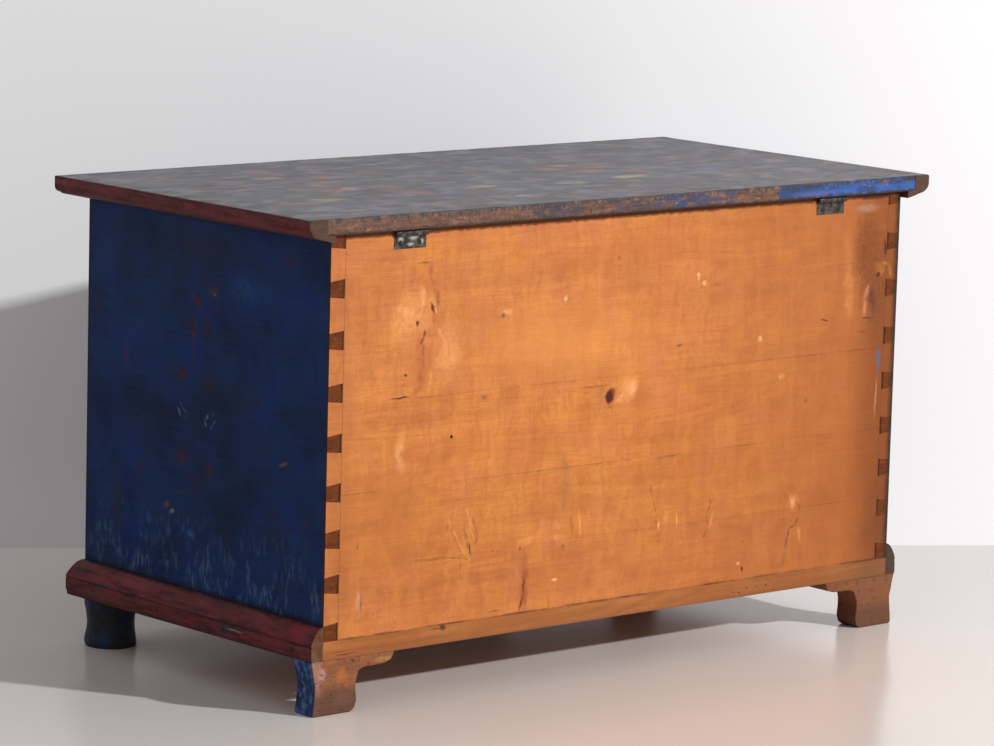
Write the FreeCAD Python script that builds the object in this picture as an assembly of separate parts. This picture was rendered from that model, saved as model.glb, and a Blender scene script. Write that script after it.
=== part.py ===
# Painted pine blanket chest: a dovetailed box on four feet, with a flat lid on two iron hinges.
# Frame: X along the length, -Y towards the front with the lock, +Y towards the plain back, Z up.
# The origin is the middle of the outer box at floor level. Right is +X, as seen from the front.
import FreeCAD, Part
import os

V = FreeCAD.Vector
X_AXIS = V(1, 0, 0)
Y_AXIS = V(0, 1, 0)
Z_AXIS = V(0, 0, 1)
SIDES = (("left", -1), ("right", 1))
os.makedirs("parts", exist_ok=True)

# Carcass
carcass_length = 1048.0
carcass_depth = 540.0
wall_height = 540.0
end_thickness = 24.0
back_thickness = 24.0
front_thickness = 24.0
bottom_thickness = 26.0
bottom_board_count = 4
back_seam_shares = (0.172, 0.36, 0.58)
front_seam_shares = (0.31, 0.66)
end_seam_shares = (0.30, 0.68)

# Dovetails: the pins stand on the end boards and taper towards the outer corner
pin_root_width = 26.0
pin_tip_width = 20.0
top_pin_width = 20.0
bottom_pin_width = 24.0
pin_centre_shares = (0.140, 0.251, 0.366, 0.488, 0.611, 0.740, 0.866)

# Plinth moulding on the front and both ends
plinth_depth = 19.5
plinth_height = 46.0
plinth_groove_width = 3.0
plinth_groove_depth = 2.0
plinth_groove_share = 0.44
plinth_outline_shares = {
    "top_flat": 0.16,
    "round_mid": (0.60, 0.84),
    "round_end": (1.0, 0.44),
    "foot_start": 0.07,
    "foot_inset": 0.15,
}

# Feet: turned at the front, shaped slabs at the back
foot_height = 74.0
turned_foot_radius = 37.5
turned_waist_radius = 33.5
turned_base_radius = 34.0
turned_foot_inset = 46.0
turned_shoulder_share = 0.80
turned_belly_share = 0.10
turned_base_mid_shares = (0.64, 0.33)
foot_tenon_radius = 12.0
foot_tenon_length = 22.0
slab_foot_width = 142.0
slab_foot_depth = 40.0
slab_foot_shares = {
    "top_outer": (0.010, 1.0),
    "waist": (0.053, 0.55),
    "heel": (0.028, 0.04),
    "base_outer": (0.045, 0.0),
    "base_inner": (0.475, 0.0),
    "toe_mid": (0.535, 0.07),
    "toe": (0.554, 0.20),
    "neck_mid": (0.540, 0.42),
    "neck": (0.560, 0.64),
    "bow_mid": (0.585, 0.745),
    "bow": (0.640, 0.785),
    "wing": (0.880, 0.800),
    "wing_mid": (0.965, 0.850),
    "wing_end": (1.0, 1.0),
}

# Lid: three boards with nosing strips on both ends and the front
lid_thickness = 22.0
lid_end_overhang = 45.0
lid_front_overhang = 20.0
lid_back_overhang = 13.0
lid_board_shares = (0.36, 0.30, 0.34)
strip_gap = 2.0
strip_drop = 10.0
strip_cap_width = 29.0
strip_face_height = 17.5
strip_round_width = 8.0
strip_round_drop = 7.0
strip_round_mid_shares = (0.2, 0.55)

# Hinges: a short leaf let into the back and a long strap under the lid
hinge_inset_left = 142.0
hinge_inset_right = 132.0
hinge_width = 54.0
hinge_plate = 2.5
hinge_leaf_height = 26.0
leaf_nail_height_share = 0.7
leaf_nail_spread_share = 0.3
knuckle_radius = 4.5
knuckle_gap = 0.4
knuckle_side_gap = 0.3
middle_knuckle_share = 0.34
hinge_pin_radius = 2.2
hinge_pin_clearance = 0.05
strap_length = 240.0
strap_end_width = 30.0
let_in_clearance = 0.3

# Lock on the inside of the front, with its key in place
lock_width = 90.0
lock_height = 60.0
lock_depth = 16.0
lock_plate = 2.0
lock_flange = 14.0
lock_drop = 4.5
bolt_height = 9.0
bolt_thickness = 5.0
bolt_length = 38.0
bolt_travel = 13.0
bolt_head_gap = 1.0
bolt_top_gap = 1.5
bolt_rest_gap = 0.3
rail_height = 2.0
rail_overlap = 11.5
staple_thickness = 5.0
staple_bar = 2.8
staple_eye_width = 6.6
staple_eye_drop = 18.5
staple_plate_width = 44.0
staple_plate_depth = 13.0
staple_plate = 2.0
staple_clearance = 0.8
key_shank_radius = 3.0
key_bit_reach = 12.0
key_bit_width = 8.0
key_bit_thickness = 3.0
key_bit_gap = 0.6
key_bit_back_gap = 2.0
key_bow_radius = 11.0
key_bow_wire = 2.4
key_bow_sink = 1.0
key_collar_radius = 4.6
key_collar_length = 4.0
key_stand_off = 13.0
key_end_gap = 0.6
key_bore_depth = 11.0
drill_pin_radius = 1.6
drill_pin_clearance = 0.05
keyhole_radius = 4.4
keyhole_slot_width = 5.0
keyhole_slot_reach = 14.0
escutcheon_width = 38.0
escutcheon_above = 13.0
escutcheon_below = 30.0
escutcheon_plate = 1.5

# Open till across the left end of the inside
till_width = 150.0
till_height = 105.0
till_drop = 34.0
till_board = 12.0
till_groove = 6.0

# Nails
nail_head_height = 1.2
iron_nail_radius = 1.6
iron_nail_head = 3.6
hinge_nail_length = 18.0
strap_nail_length = 15.0
strap_nail_count = 4
wood_nail_radius = 1.5
wood_nail_head = 2.8
plinth_nail_length = 42.0
plinth_nail_height = 11.0
plinth_end_nail_count = 4
plinth_front_nail_count = 6
plinth_nail_margin = 45.0
bottom_nail_length = 60.0
bottom_end_nail_count = 8
bottom_long_nail_count = 6
bottom_nail_margin = 70.0
bottom_long_margin = 150.0
foot_nail_length = 58.0
foot_nail_places = (8.0, 24.0)
foot_nail_side_gap = 8.0
strip_nail_length = 50.0
strip_end_nail_count = 5
strip_front_nail_count = 7
strip_nail_margin = 35.0
strip_nail_drop = 11.0
small_nail_radius = 0.9
small_nail_head = 1.9
lock_nail_length = 17.0
lock_nail_margin = 10.0
escutcheon_nail_length = 12.0
escutcheon_nail_margin = 4.0
staple_nail_length = 15.0
staple_nail_margin = 6.0

overrun = 5.0

# Planes worked out from the sizes
half_length = carcass_length / 2
inner_end = half_length - end_thickness
key_reach = key_stand_off + key_collar_length + 2 * (key_bow_radius + key_bow_wire) - key_bow_sink
total_depth = key_reach + carcass_depth + lid_back_overhang
y_front = key_reach - total_depth / 2
y_back = y_front + carcass_depth
y_front_inner = y_front + front_thickness
y_back_inner = y_back - back_thickness
z_under = foot_height
z_wall = z_under + bottom_thickness
z_rim = z_wall + wall_height
z_top = z_rim + lid_thickness

# Hinge axis, just outside the back and just under the lid
hinge_y = y_back - hinge_plate + knuckle_gap + knuckle_radius
hinge_z = z_rim - knuckle_gap - knuckle_radius
hinge_places = (
    ("left", half_length - hinge_inset_left, -1),
    ("right", half_length - hinge_inset_right, 1),
)

# Lock levels
lock_top = z_rim - lock_drop
lock_back = y_front_inner + lock_depth
bolt_top = lock_top - lock_plate - bolt_top_gap
bolt_bottom = bolt_top - bolt_height
bolt_mid_y = (y_front_inner + lock_back - lock_plate) / 2
staple_low = z_rim - staple_eye_drop - staple_bar
key_z = staple_low - key_bit_gap - key_bit_reach


def box(x0, x1, y0, y1, z0, z1):
    return Part.makeBox(x1 - x0, y1 - y0, z1 - z0, V(x0, y0, z0))


def rod(start, axis, radius, length):
    return Part.makeCylinder(radius, length, start, axis)


def closed_wire(start, steps):
    """Wire from start through steps: a point is a line's end, a pair is an arc's middle and end."""
    edges = []
    here = start
    for step in steps:
        if isinstance(step, tuple):
            edges.append(Part.Arc(here, step[0], step[1]).toShape())
            here = step[1]
        else:
            edges.append(Part.LineSegment(here, step).toShape())
            here = step
    edges.append(Part.LineSegment(here, start).toShape())
    return Part.Wire(edges)


def prism(start, steps, sweep):
    return Part.Face(closed_wire(start, steps)).extrude(sweep)


def spread(first, last, count):
    return [first + (last - first) * n / (count - 1) for n in range(count)]


def cut_all(shape, tools):
    return shape.cut(Part.makeCompound(tools)) if tools else shape


def save(name, shape):
    solids = shape.Solids
    if not solids or not shape.isValid():
        raise RuntimeError(name + " is not a sound solid")
    whole = solids[0] if len(solids) == 1 else Part.makeCompound(solids)
    whole.exportStep("parts/" + name + ".step")
    print(name, len(solids), round(shape.Volume))


def nail(point, drive, shank_radius, head_radius, length):
    """A nail driven along drive from the surface point, with a low domed head on the surface."""
    rise = nail_head_height
    dome_radius = (head_radius ** 2 + rise ** 2) / (2 * rise)
    mid = head_radius / 2
    mid_rise = (dome_radius ** 2 - mid ** 2) ** 0.5 - (dome_radius - rise)
    steps = [
        (V(mid, 0, -mid_rise), V(head_radius, 0, 0)),
        V(shank_radius, 0, 0),
        V(shank_radius, 0, length),
        V(0, 0, length),
    ]
    body = Part.Face(closed_wire(V(0, 0, -rise), steps)).revolve(V(0, 0, 0), Z_AXIS, 360)
    body.Placement = FreeCAD.Placement(point, FreeCAD.Rotation(Z_AXIS, drive))
    return body


def nail_hole(point, drive, shank_radius, length):
    return rod(point, drive, shank_radius, length)


# Nail places: each entry is a surface point and the driving direction
def bottom_nail_points():
    points = []
    for side, sign in SIDES:
        for y in spread(y_front + bottom_nail_margin, y_back - bottom_nail_margin, bottom_end_nail_count):
            points.append(V(sign * (half_length - end_thickness / 2), y, z_under))
    reach = half_length - bottom_long_margin
    for y in (y_front + front_thickness / 2, y_back - back_thickness / 2):
        for x in spread(-reach, reach, bottom_long_nail_count):
            points.append(V(x, y, z_under))
    return points


def foot_nail_points():
    y = y_back_inner - foot_nail_side_gap
    return [V(sign * (inner_end - place), y, z_wall) for side, sign in SIDES for place in foot_nail_places]


def plinth_nail_points():
    z = z_under + plinth_nail_height
    points = []
    for side, sign in SIDES:
        for y in spread(y_front + plinth_nail_margin, y_back - plinth_nail_margin, plinth_end_nail_count):
            points.append((V(sign * (half_length + plinth_depth), y, z), X_AXIS * -sign))
    reach = half_length - plinth_nail_margin
    for x in spread(-reach, reach, plinth_front_nail_count):
        points.append((V(x, y_front - plinth_depth, z), Y_AXIS))
    return points


def strip_nail_points():
    z = z_top - strip_nail_drop
    back_end = y_back + lid_back_overhang
    front_end = y_front - strip_gap
    points = []
    for side, sign in SIDES:
        for y in spread(front_end + strip_nail_margin, back_end - strip_nail_margin, strip_end_nail_count):
            points.append((V(sign * (half_length + lid_end_overhang), y, z), X_AXIS * -sign))
    reach = half_length - strip_nail_margin
    for x in spread(-reach, reach, strip_front_nail_count):
        points.append((V(x, y_front - lid_front_overhang, z), Y_AXIS))
    return points


def leaf_nail_points(x):
    z = z_rim - hinge_leaf_height * leaf_nail_height_share
    reach = hinge_width * leaf_nail_spread_share
    return [V(x + offset, y_back, z) for offset in (-reach, reach)]


def strap_nail_points(x):
    first = y_back_inner - strap_nail_length
    last = hinge_y - strap_length + strap_end_width / 2
    return [V(x, y, z_rim - hinge_plate) for y in spread(first, last, strap_nail_count)]


def lock_nail_points():
    points = []
    for sign in (-1, 1):
        for z in (lock_top - lock_nail_margin, lock_top - lock_height + lock_nail_margin):
            points.append(V(sign * (lock_width + lock_flange) / 2, y_front_inner + lock_plate, z))
    return points


def escutcheon_nail_points():
    reach = escutcheon_width / 2 - escutcheon_nail_margin
    high = key_z + escutcheon_above - escutcheon_nail_margin
    low = key_z - escutcheon_below + escutcheon_nail_margin
    return [V(x, y_front - escutcheon_plate, z) for x in (-reach, reach) for z in (high, low)]


def staple_nail_points():
    reach = staple_plate_width / 2 - staple_nail_margin
    return [V(x, bolt_mid_y, z_rim - staple_plate) for x in (-reach, reach)]


# Carcass walls
def pin_prism(sign, y0, y1, z_root_low, z_root_high, z_tip_low, z_tip_high):
    root = sign * inner_end
    tip = sign * half_length
    start = V(root, y0, z_root_low)
    steps = [V(tip, y0, z_tip_low), V(tip, y0, z_tip_high), V(root, y0, z_root_high)]
    return prism(start, steps, Y_AXIS * (y1 - y0))


def corner_pins(sign, y0, y1):
    taper = (pin_root_width - pin_tip_width) / 2
    pins = []
    for share in pin_centre_shares:
        z = z_wall + share * wall_height
        root = pin_root_width / 2
        tip = pin_tip_width / 2
        pins.append(pin_prism(sign, y0, y1, z - root, z + root, z - tip, z + tip))
    low = z_wall + bottom_pin_width
    high = z_rim - top_pin_width
    pins.append(pin_prism(sign, y0, y1, z_wall, low, z_wall, low - taper))
    pins.append(pin_prism(sign, y0, y1, high, z_rim, high + taper, z_rim))
    return pins


def save_planks(name, wall, seam_shares):
    """Cut a wall along its glued seams and save its planks, numbered from the bottom."""
    levels = [z_wall] + [z_wall + share * wall_height for share in seam_shares] + [z_rim]
    reach = half_length + overrun
    for n in range(len(levels) - 1):
        slab = box(-reach, reach, y_front - overrun, y_back + overrun, levels[n], levels[n + 1])
        save(name + "_plank_" + str(n + 1), wall.common(slab))


def bottom_nail_holes():
    return [nail_hole(p, Z_AXIS, wood_nail_radius, bottom_nail_length) for p in bottom_nail_points()]


def till_cuts():
    low = z_rim - till_drop - till_height
    x = -inner_end + till_width
    y0 = y_front_inner - till_groove
    y1 = y_back_inner + till_groove
    side = box(x, x + till_board, y0, y1, low, z_rim - till_drop)
    floor = box(-inner_end - till_groove, x, y0, y1, low, low + till_board)
    return side, floor


def hinge_cuts():
    cuts = []
    half = hinge_width / 2 + let_in_clearance
    for side, inset, sign in hinge_places:
        x = sign * inset
        low = z_rim - hinge_leaf_height - let_in_clearance
        cuts.append(box(x - half, x + half, y_back - hinge_plate, y_back + overrun, low, z_rim + overrun))
        depth = z_rim - hinge_plate - let_in_clearance
        cuts.append(box(x - half, x + half, y_back_inner - overrun, y_back + overrun, depth, z_rim + overrun))
        for p in leaf_nail_points(x):
            cuts.append(nail_hole(p, -Y_AXIS, iron_nail_radius, hinge_nail_length))
    return cuts


def keyhole(y0, y1):
    bore = rod(V(0, y0, key_z), Y_AXIS, keyhole_radius, y1 - y0)
    half = keyhole_slot_width / 2
    slot = box(-half, half, y0, y1, key_z - keyhole_slot_reach, key_z)
    return bore.fuse(slot)


def make_walls():
    till_side, till_floor = till_cuts()
    base_holes = bottom_nail_holes()

    back = box(-half_length, half_length, y_back_inner, y_back, z_wall, z_rim)
    back_pins = [corner_pins(sign, y_back_inner, y_back) for side, sign in SIDES]
    back = cut_all(back, back_pins[0] + back_pins[1])
    back = cut_all(back, hinge_cuts() + [till_side, till_floor] + base_holes)
    save_planks("back", back, back_seam_shares)

    front = box(-half_length, half_length, y_front, y_front_inner, z_wall, z_rim)
    front_pins = [corner_pins(sign, y_front, y_front_inner) for side, sign in SIDES]
    front = cut_all(front, front_pins[0] + front_pins[1])
    holes = [keyhole(y_front - overrun, y_front_inner + overrun)]
    holes += [nail_hole(p, -Y_AXIS, iron_nail_radius, lock_nail_length) for p in lock_nail_points()]
    holes += [nail_hole(p, Y_AXIS, small_nail_radius, escutcheon_nail_length)
              for p in escutcheon_nail_points()]
    front = cut_all(front, holes + [till_side, till_floor] + base_holes)
    save_planks("front", front, front_seam_shares)

    for n, (side, sign) in enumerate(SIDES):
        x0, x1 = sorted((sign * inner_end, sign * half_length))
        end = box(x0, x1, y_front_inner, y_back_inner, z_wall, z_rim)
        end = end.multiFuse(back_pins[n] + front_pins[n]).removeSplitter()
        end = cut_all(end, base_holes + ([till_floor] if sign < 0 else []))
        save_planks(side + "_end", end, end_seam_shares)


def make_bottom():
    holes = bottom_nail_holes()
    holes += [nail_hole(p, -Z_AXIS, wood_nail_radius, foot_nail_length) for p in foot_nail_points()]
    holes += [nail_hole(p, drive, wood_nail_radius, plinth_nail_length)
              for p, drive in plinth_nail_points()]
    holes += [turned_foot(sign) for side, sign in SIDES]
    width = carcass_depth / bottom_board_count
    for n in range(bottom_board_count):
        y = y_front + n * width
        board = box(-half_length, half_length, y, y + width, z_under, z_wall)
        save("bottom_board_" + str(n + 1), cut_all(board, holes))


# Plinth
def plinth_profile(origin, out):
    """Section of the moulding, standing at origin and growing along out and Z."""
    shape = plinth_outline_shares

    def at(depth_share, height_share):
        return origin + out * (plinth_depth * depth_share) + Z_AXIS * (plinth_height * height_share)

    groove = plinth_groove_share
    half = plinth_groove_width / plinth_height / 2
    sink = plinth_groove_depth / plinth_depth
    steps = [
        at(shape["top_flat"], 1),
        (at(*shape["round_mid"]), at(1, groove + half)),
        at(1 - sink, groove),
        at(1, groove - half),
        at(1, shape["foot_start"]),
        at(1 - shape["foot_inset"], 0),
        at(0, 0),
    ]
    return closed_wire(at(0, 1), steps)


def mitre_tool(sign, keep_end):
    """Wedge that takes the front strip's corner from an end strip, or the other way round."""
    far = plinth_depth + overrun
    x_in = sign * (half_length - overrun)
    x_out = sign * (half_length + far)
    low = z_under - overrun
    a = V(x_in, y_front + overrun, low)
    b = V(x_out, y_front - far, low)
    c = V(x_in, y_front - far, low) if keep_end else V(x_out, y_front + overrun, low)
    return prism(a, [b, c], Z_AXIS * (plinth_height + 2 * overrun))


def make_plinth():
    nails = [nail_hole(p, drive, wood_nail_radius, plinth_nail_length) for p, drive in plinth_nail_points()]
    for side, sign in SIDES:
        start = V(sign * half_length, y_front - plinth_depth, z_under)
        wire = plinth_profile(start, X_AXIS * sign)
        strip = Part.Face(wire).extrude(Y_AXIS * (carcass_depth + plinth_depth))
        save("plinth_" + side, cut_all(strip, [mitre_tool(sign, True)] + nails))
    reach = half_length + plinth_depth
    wire = plinth_profile(V(-reach, y_front, z_under), -Y_AXIS)
    strip = Part.Face(wire).extrude(X_AXIS * (2 * reach))
    save("plinth_front", cut_all(strip, [mitre_tool(sign, False) for side, sign in SIDES] + nails))


# Feet
def turned_foot(sign):
    x = sign * (half_length + plinth_depth - turned_foot_inset)
    y = y_front - plinth_depth + turned_foot_inset

    def at(radius, height):
        return V(x + radius, y, height)

    shoulder = foot_height * turned_shoulder_share
    belly = foot_height * turned_belly_share
    waist = (shoulder + belly) / 2
    out_share, up_share = turned_base_mid_shares
    swell = turned_foot_radius - turned_base_radius
    top = foot_height + foot_tenon_length
    steps = [
        at(turned_base_radius, 0),
        (at(turned_base_radius + swell * out_share, belly * up_share), at(turned_foot_radius, belly)),
        (at(turned_waist_radius, waist), at(turned_foot_radius, shoulder)),
        at(turned_foot_radius, foot_height),
        at(foot_tenon_radius, foot_height),
        at(foot_tenon_radius, top),
        at(0, top),
    ]
    face = Part.Face(closed_wire(at(0, 0), steps))
    return face.revolve(V(x, y, 0), Z_AXIS, 360)


def slab_foot(sign):
    shape = slab_foot_shares
    outer = sign * (half_length + plinth_depth)

    def at(key):
        inward, height = shape[key]
        return V(outer - sign * inward * slab_foot_width, y_back - slab_foot_depth, height * foot_height)

    steps = [
        (at("waist"), at("heel")),
        at("base_outer"),
        at("base_inner"),
        (at("toe_mid"), at("toe")),
        (at("neck_mid"), at("neck")),
        (at("bow_mid"), at("bow")),
        at("wing"),
        (at("wing_mid"), at("wing_end")),
    ]
    foot = prism(at("top_outer"), steps, Y_AXIS * slab_foot_depth)
    holes = [nail_hole(p, -Z_AXIS, wood_nail_radius, foot_nail_length) for p in foot_nail_points()]
    return cut_all(foot, holes)


def make_feet():
    for side, sign in SIDES:
        save("front_foot_" + side, turned_foot(sign))
        save("back_foot_" + side, slab_foot(sign))


# Lid
def strip_nail_holes():
    return [nail_hole(p, drive, wood_nail_radius, strip_nail_length) for p, drive in strip_nail_points()]


def make_lid_boards():
    front_edge = y_front - strip_gap
    depth = y_back + lid_back_overhang - front_edge
    reach = half_length + lid_end_overhang - strip_cap_width
    holes = strip_nail_holes()
    for side, inset, sign in hinge_places:
        points = strap_nail_points(sign * inset)
        holes += [nail_hole(p, Z_AXIS, iron_nail_radius, strap_nail_length) for p in points]
    holes += [nail_hole(p, Z_AXIS, iron_nail_radius, staple_nail_length) for p in staple_nail_points()]
    y = front_edge
    for n, share in enumerate(lid_board_shares):
        board = box(-reach, reach, y, y + depth * share, z_rim, z_top)
        save("lid_board_" + str(n + 1), cut_all(board, holes))
        y += depth * share


def make_lid_strips():
    holes = strip_nail_holes()
    low = z_rim - strip_drop
    face_low = z_top - strip_face_height
    round_low = face_low - strip_round_drop
    leg = lid_end_overhang - strip_gap
    slope = (round_low - low) / (leg - strip_round_width)
    mid_in, mid_up = strip_round_mid_shares
    y0 = y_front - strip_gap
    sweep = Y_AXIS * (y_back + lid_back_overhang - y0)
    for side, sign in SIDES:
        outer = half_length + lid_end_overhang

        def at(inward, z):
            return V(sign * (outer - inward), y0, z)

        steps = [
            at(strip_cap_width, z_top),
            at(strip_cap_width, z_rim),
            at(leg, z_rim),
            at(leg, low),
            at(strip_round_width, round_low),
            (at(strip_round_width * mid_in, round_low + strip_round_drop * mid_up), at(0, face_low)),
        ]
        strip = prism(at(0, z_top), steps, sweep)
        save("lid_strip_" + side, cut_all(strip, holes))

    reach = half_length + lid_end_overhang
    width = lid_front_overhang - strip_gap

    def front_at(inward, z):
        return V(-reach, y_front - lid_front_overhang + inward, z)

    under = low + slope * (width - strip_round_width)
    rise = face_low - under
    steps = [
        front_at(width, z_top),
        front_at(width, low),
        front_at(strip_round_width, under),
        (front_at(strip_round_width * mid_in, under + rise * mid_up), front_at(0, face_low)),
    ]
    strip = prism(front_at(0, z_top), steps, X_AXIS * (2 * reach))
    save("lid_strip_front", cut_all(strip, holes))


# Hinges
def hinge_bore(x):
    radius = hinge_pin_radius + hinge_pin_clearance
    return rod(V(x - hinge_width, hinge_y, hinge_z), X_AXIS, radius, 2 * hinge_width)


def make_hinge(side, x):
    half = hinge_width / 2
    middle = hinge_width * middle_knuckle_share / 2
    gap = knuckle_side_gap

    low = z_rim - hinge_leaf_height
    leaf = box(x - half, x + half, y_back - hinge_plate, y_back, low, hinge_z)
    slot_low = hinge_z - knuckle_radius - knuckle_gap
    room = middle + gap
    leaf = leaf.cut(box(x - room, x + room, y_back - hinge_plate, y_back, slot_low, z_rim))
    for start, end in ((x - half, x - room), (x + room, x + half)):
        leaf = leaf.fuse(rod(V(start, hinge_y, hinge_z), X_AXIS, knuckle_radius, end - start))
    holes = [nail_hole(p, -Y_AXIS, iron_nail_radius, hinge_nail_length) for p in leaf_nail_points(x)]
    leaf = cut_all(leaf, [hinge_bore(x)] + holes)
    save("hinge_leaf_" + side, leaf.removeSplitter())

    pin = rod(V(x - half, hinge_y, hinge_z), X_AXIS, hinge_pin_radius, hinge_width)
    save("hinge_pin_" + side, pin)

    wide = hinge_y - knuckle_radius - knuckle_gap * 2
    tip = hinge_y - strap_length
    end_half = strap_end_width / 2
    z0 = z_rim - hinge_plate
    steps = [
        V(x + half, wide, z0),
        V(x + end_half, tip + end_half, z0),
        (V(x, tip, z0), V(x - end_half, tip + end_half, z0)),
    ]
    strap = prism(V(x - half, wide, z0), steps, Z_AXIS * hinge_plate)
    strap = strap.fuse(box(x - middle, x + middle, wide, hinge_y, z0, z_rim))
    strap = strap.cut(box(x - half, x + half, hinge_y - knuckle_radius, hinge_y + knuckle_radius,
                          hinge_z + knuckle_radius, z_rim + overrun))
    strap = strap.fuse(rod(V(x - middle, hinge_y, hinge_z), X_AXIS, knuckle_radius, 2 * middle))
    nails = [nail_hole(p, Z_AXIS, iron_nail_radius, strap_nail_length) for p in strap_nail_points(x)]
    save("hinge_strap_" + side, cut_all(strap, [hinge_bore(x)] + nails).removeSplitter())


# Lock
def make_lock():
    half = lock_width / 2
    low = lock_top - lock_height
    inside = lock_back - lock_plate
    case = box(-half, half, y_front_inner, lock_back, low, lock_top)
    case = case.cut(box(lock_plate - half, half - lock_plate, y_front_inner, inside,
                        low + lock_plate, lock_top - lock_plate))
    for sign in (-1, 1):
        x0, x1 = sorted((sign * half, sign * (half + lock_flange)))
        case = case.fuse(box(x0, x1, y_front_inner, y_front_inner + lock_plate, low, lock_top))
    room_x = staple_thickness / 2 + staple_clearance
    room_y = staple_eye_width / 2 + staple_bar + staple_clearance
    case = case.cut(box(-room_x, room_x, bolt_mid_y - room_y, bolt_mid_y + room_y,
                        lock_top - lock_plate, lock_top))
    rail_top = bolt_bottom - bolt_rest_gap
    head = -staple_thickness / 2 - bolt_head_gap
    rail_end = head - bolt_length + bolt_travel + rail_overlap
    case = case.fuse(box(lock_plate - half, rail_end, bolt_mid_y - bolt_thickness / 2, inside,
                         rail_top - rail_height, rail_top))
    case = case.fuse(rod(V(0, inside, key_z), -Y_AXIS, drill_pin_radius, key_bore_depth))
    nails = [nail_hole(p, -Y_AXIS, iron_nail_radius, lock_nail_length) for p in lock_nail_points()]
    save("lock_case", cut_all(case, nails).removeSplitter())

    bolt = box(head - bolt_length, head, bolt_mid_y - bolt_thickness / 2,
               bolt_mid_y + bolt_thickness / 2, bolt_bottom, bolt_top)
    save("lock_bolt", bolt)

    eye = staple_eye_width / 2
    outer = eye + staple_bar
    thick = staple_thickness / 2
    loop = box(-thick, thick, bolt_mid_y - outer, bolt_mid_y + outer,
               staple_low, z_rim - staple_plate)
    loop = loop.cut(box(-thick, thick, bolt_mid_y - eye, bolt_mid_y + eye,
                        z_rim - staple_eye_drop, z_rim - staple_plate))
    reach = staple_plate_width / 2
    plate = box(-reach, reach, bolt_mid_y - staple_plate_depth / 2, bolt_mid_y + staple_plate_depth / 2,
                z_rim - staple_plate, z_rim)
    nails = [nail_hole(p, Z_AXIS, iron_nail_radius, staple_nail_length) for p in staple_nail_points()]
    save("lid_staple", cut_all(loop.fuse(plate), nails).removeSplitter())

    reach = escutcheon_width / 2
    high = key_z + escutcheon_above
    low = key_z - escutcheon_below
    y = y_front - escutcheon_plate
    steps = [V(reach, y, high), V(reach, y, low), (V(0, y, low - reach / 3), V(-reach, y, low))]
    plate = prism(V(-reach, y, high), steps, Y_AXIS * escutcheon_plate)
    holes = [keyhole(y - overrun, y_front + overrun)]
    holes += [nail_hole(p, Y_AXIS, small_nail_radius, escutcheon_nail_length)
              for p in escutcheon_nail_points()]
    save("escutcheon", cut_all(plate, holes))


def make_key():
    inside = lock_back - lock_plate
    tip = inside - key_end_gap
    collar = y_front - key_stand_off
    shank = rod(V(0, collar, key_z), Y_AXIS, key_shank_radius, tip - collar)
    bore_radius = drill_pin_radius + drill_pin_clearance
    shank = shank.cut(rod(V(0, tip, key_z), -Y_AXIS, bore_radius, key_bore_depth))
    half = key_bit_thickness / 2
    bit_back = inside - key_bit_back_gap
    bit_root = (key_shank_radius + drill_pin_radius) / 2
    bit = box(-half, half, bit_back - key_bit_width, bit_back, key_z - key_bit_reach, key_z - bit_root)
    ring = rod(V(0, collar - key_collar_length, key_z), Y_AXIS, key_collar_radius, key_collar_length)
    bow_y = collar - key_collar_length - key_bow_radius - key_bow_wire + key_bow_sink
    bow = Part.makeTorus(key_bow_radius, key_bow_wire, V(0, bow_y, key_z), X_AXIS)
    save("key", shank.fuse(bit).fuse(ring).fuse(bow).removeSplitter())


# Till
def make_till():
    side, floor = till_cuts()
    save("till_side", side)
    save("till_floor", floor)


# Fasteners
def save_nails(name, places, shank_radius, head_radius, length):
    nails = [nail(p, drive, shank_radius, head_radius, length) for p, drive in places]
    save(name, Part.makeCompound(nails))


def make_nails():
    up = Z_AXIS
    save_nails("bottom_nails", [(p, up) for p in bottom_nail_points()],
               wood_nail_radius, wood_nail_head, bottom_nail_length)
    save_nails("foot_nails", [(p, -up) for p in foot_nail_points()],
               wood_nail_radius, wood_nail_head, foot_nail_length)
    save_nails("plinth_nails", plinth_nail_points(), wood_nail_radius, wood_nail_head, plinth_nail_length)
    save_nails("strip_nails", strip_nail_points(), wood_nail_radius, wood_nail_head, strip_nail_length)
    leaf = []
    strap = []
    for side, inset, sign in hinge_places:
        leaf += [(p, -Y_AXIS) for p in leaf_nail_points(sign * inset)]
        strap += [(p, up) for p in strap_nail_points(sign * inset)]
    save_nails("hinge_leaf_nails", leaf, iron_nail_radius, iron_nail_head, hinge_nail_length)
    save_nails("hinge_strap_nails", strap, iron_nail_radius, iron_nail_head, strap_nail_length)
    save_nails("lock_nails", [(p, -Y_AXIS) for p in lock_nail_points()],
               iron_nail_radius, iron_nail_head, lock_nail_length)
    save_nails("escutcheon_nails", [(p, Y_AXIS) for p in escutcheon_nail_points()],
               small_nail_radius, small_nail_head, escutcheon_nail_length)
    save_nails("staple_nails", [(p, up) for p in staple_nail_points()],
               iron_nail_radius, wood_nail_head, staple_nail_length)


make_walls()
make_bottom()
make_plinth()
make_feet()
make_lid_boards()
make_lid_strips()
for hinge_side, hinge_inset, hinge_sign in hinge_places:
    make_hinge(hinge_side, hinge_sign * hinge_inset)
make_lock()
make_key()
make_till()
make_nails()
print("hinge axis", round(hinge_y, 3), round(hinge_z, 3), "key axis", round(key_z, 3))
print("front", round(y_front, 3), "back", round(y_back, 3), "rim", z_rim, "top", z_top)
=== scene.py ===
import math
import bmesh
import bpy
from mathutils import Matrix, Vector, noise


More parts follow.
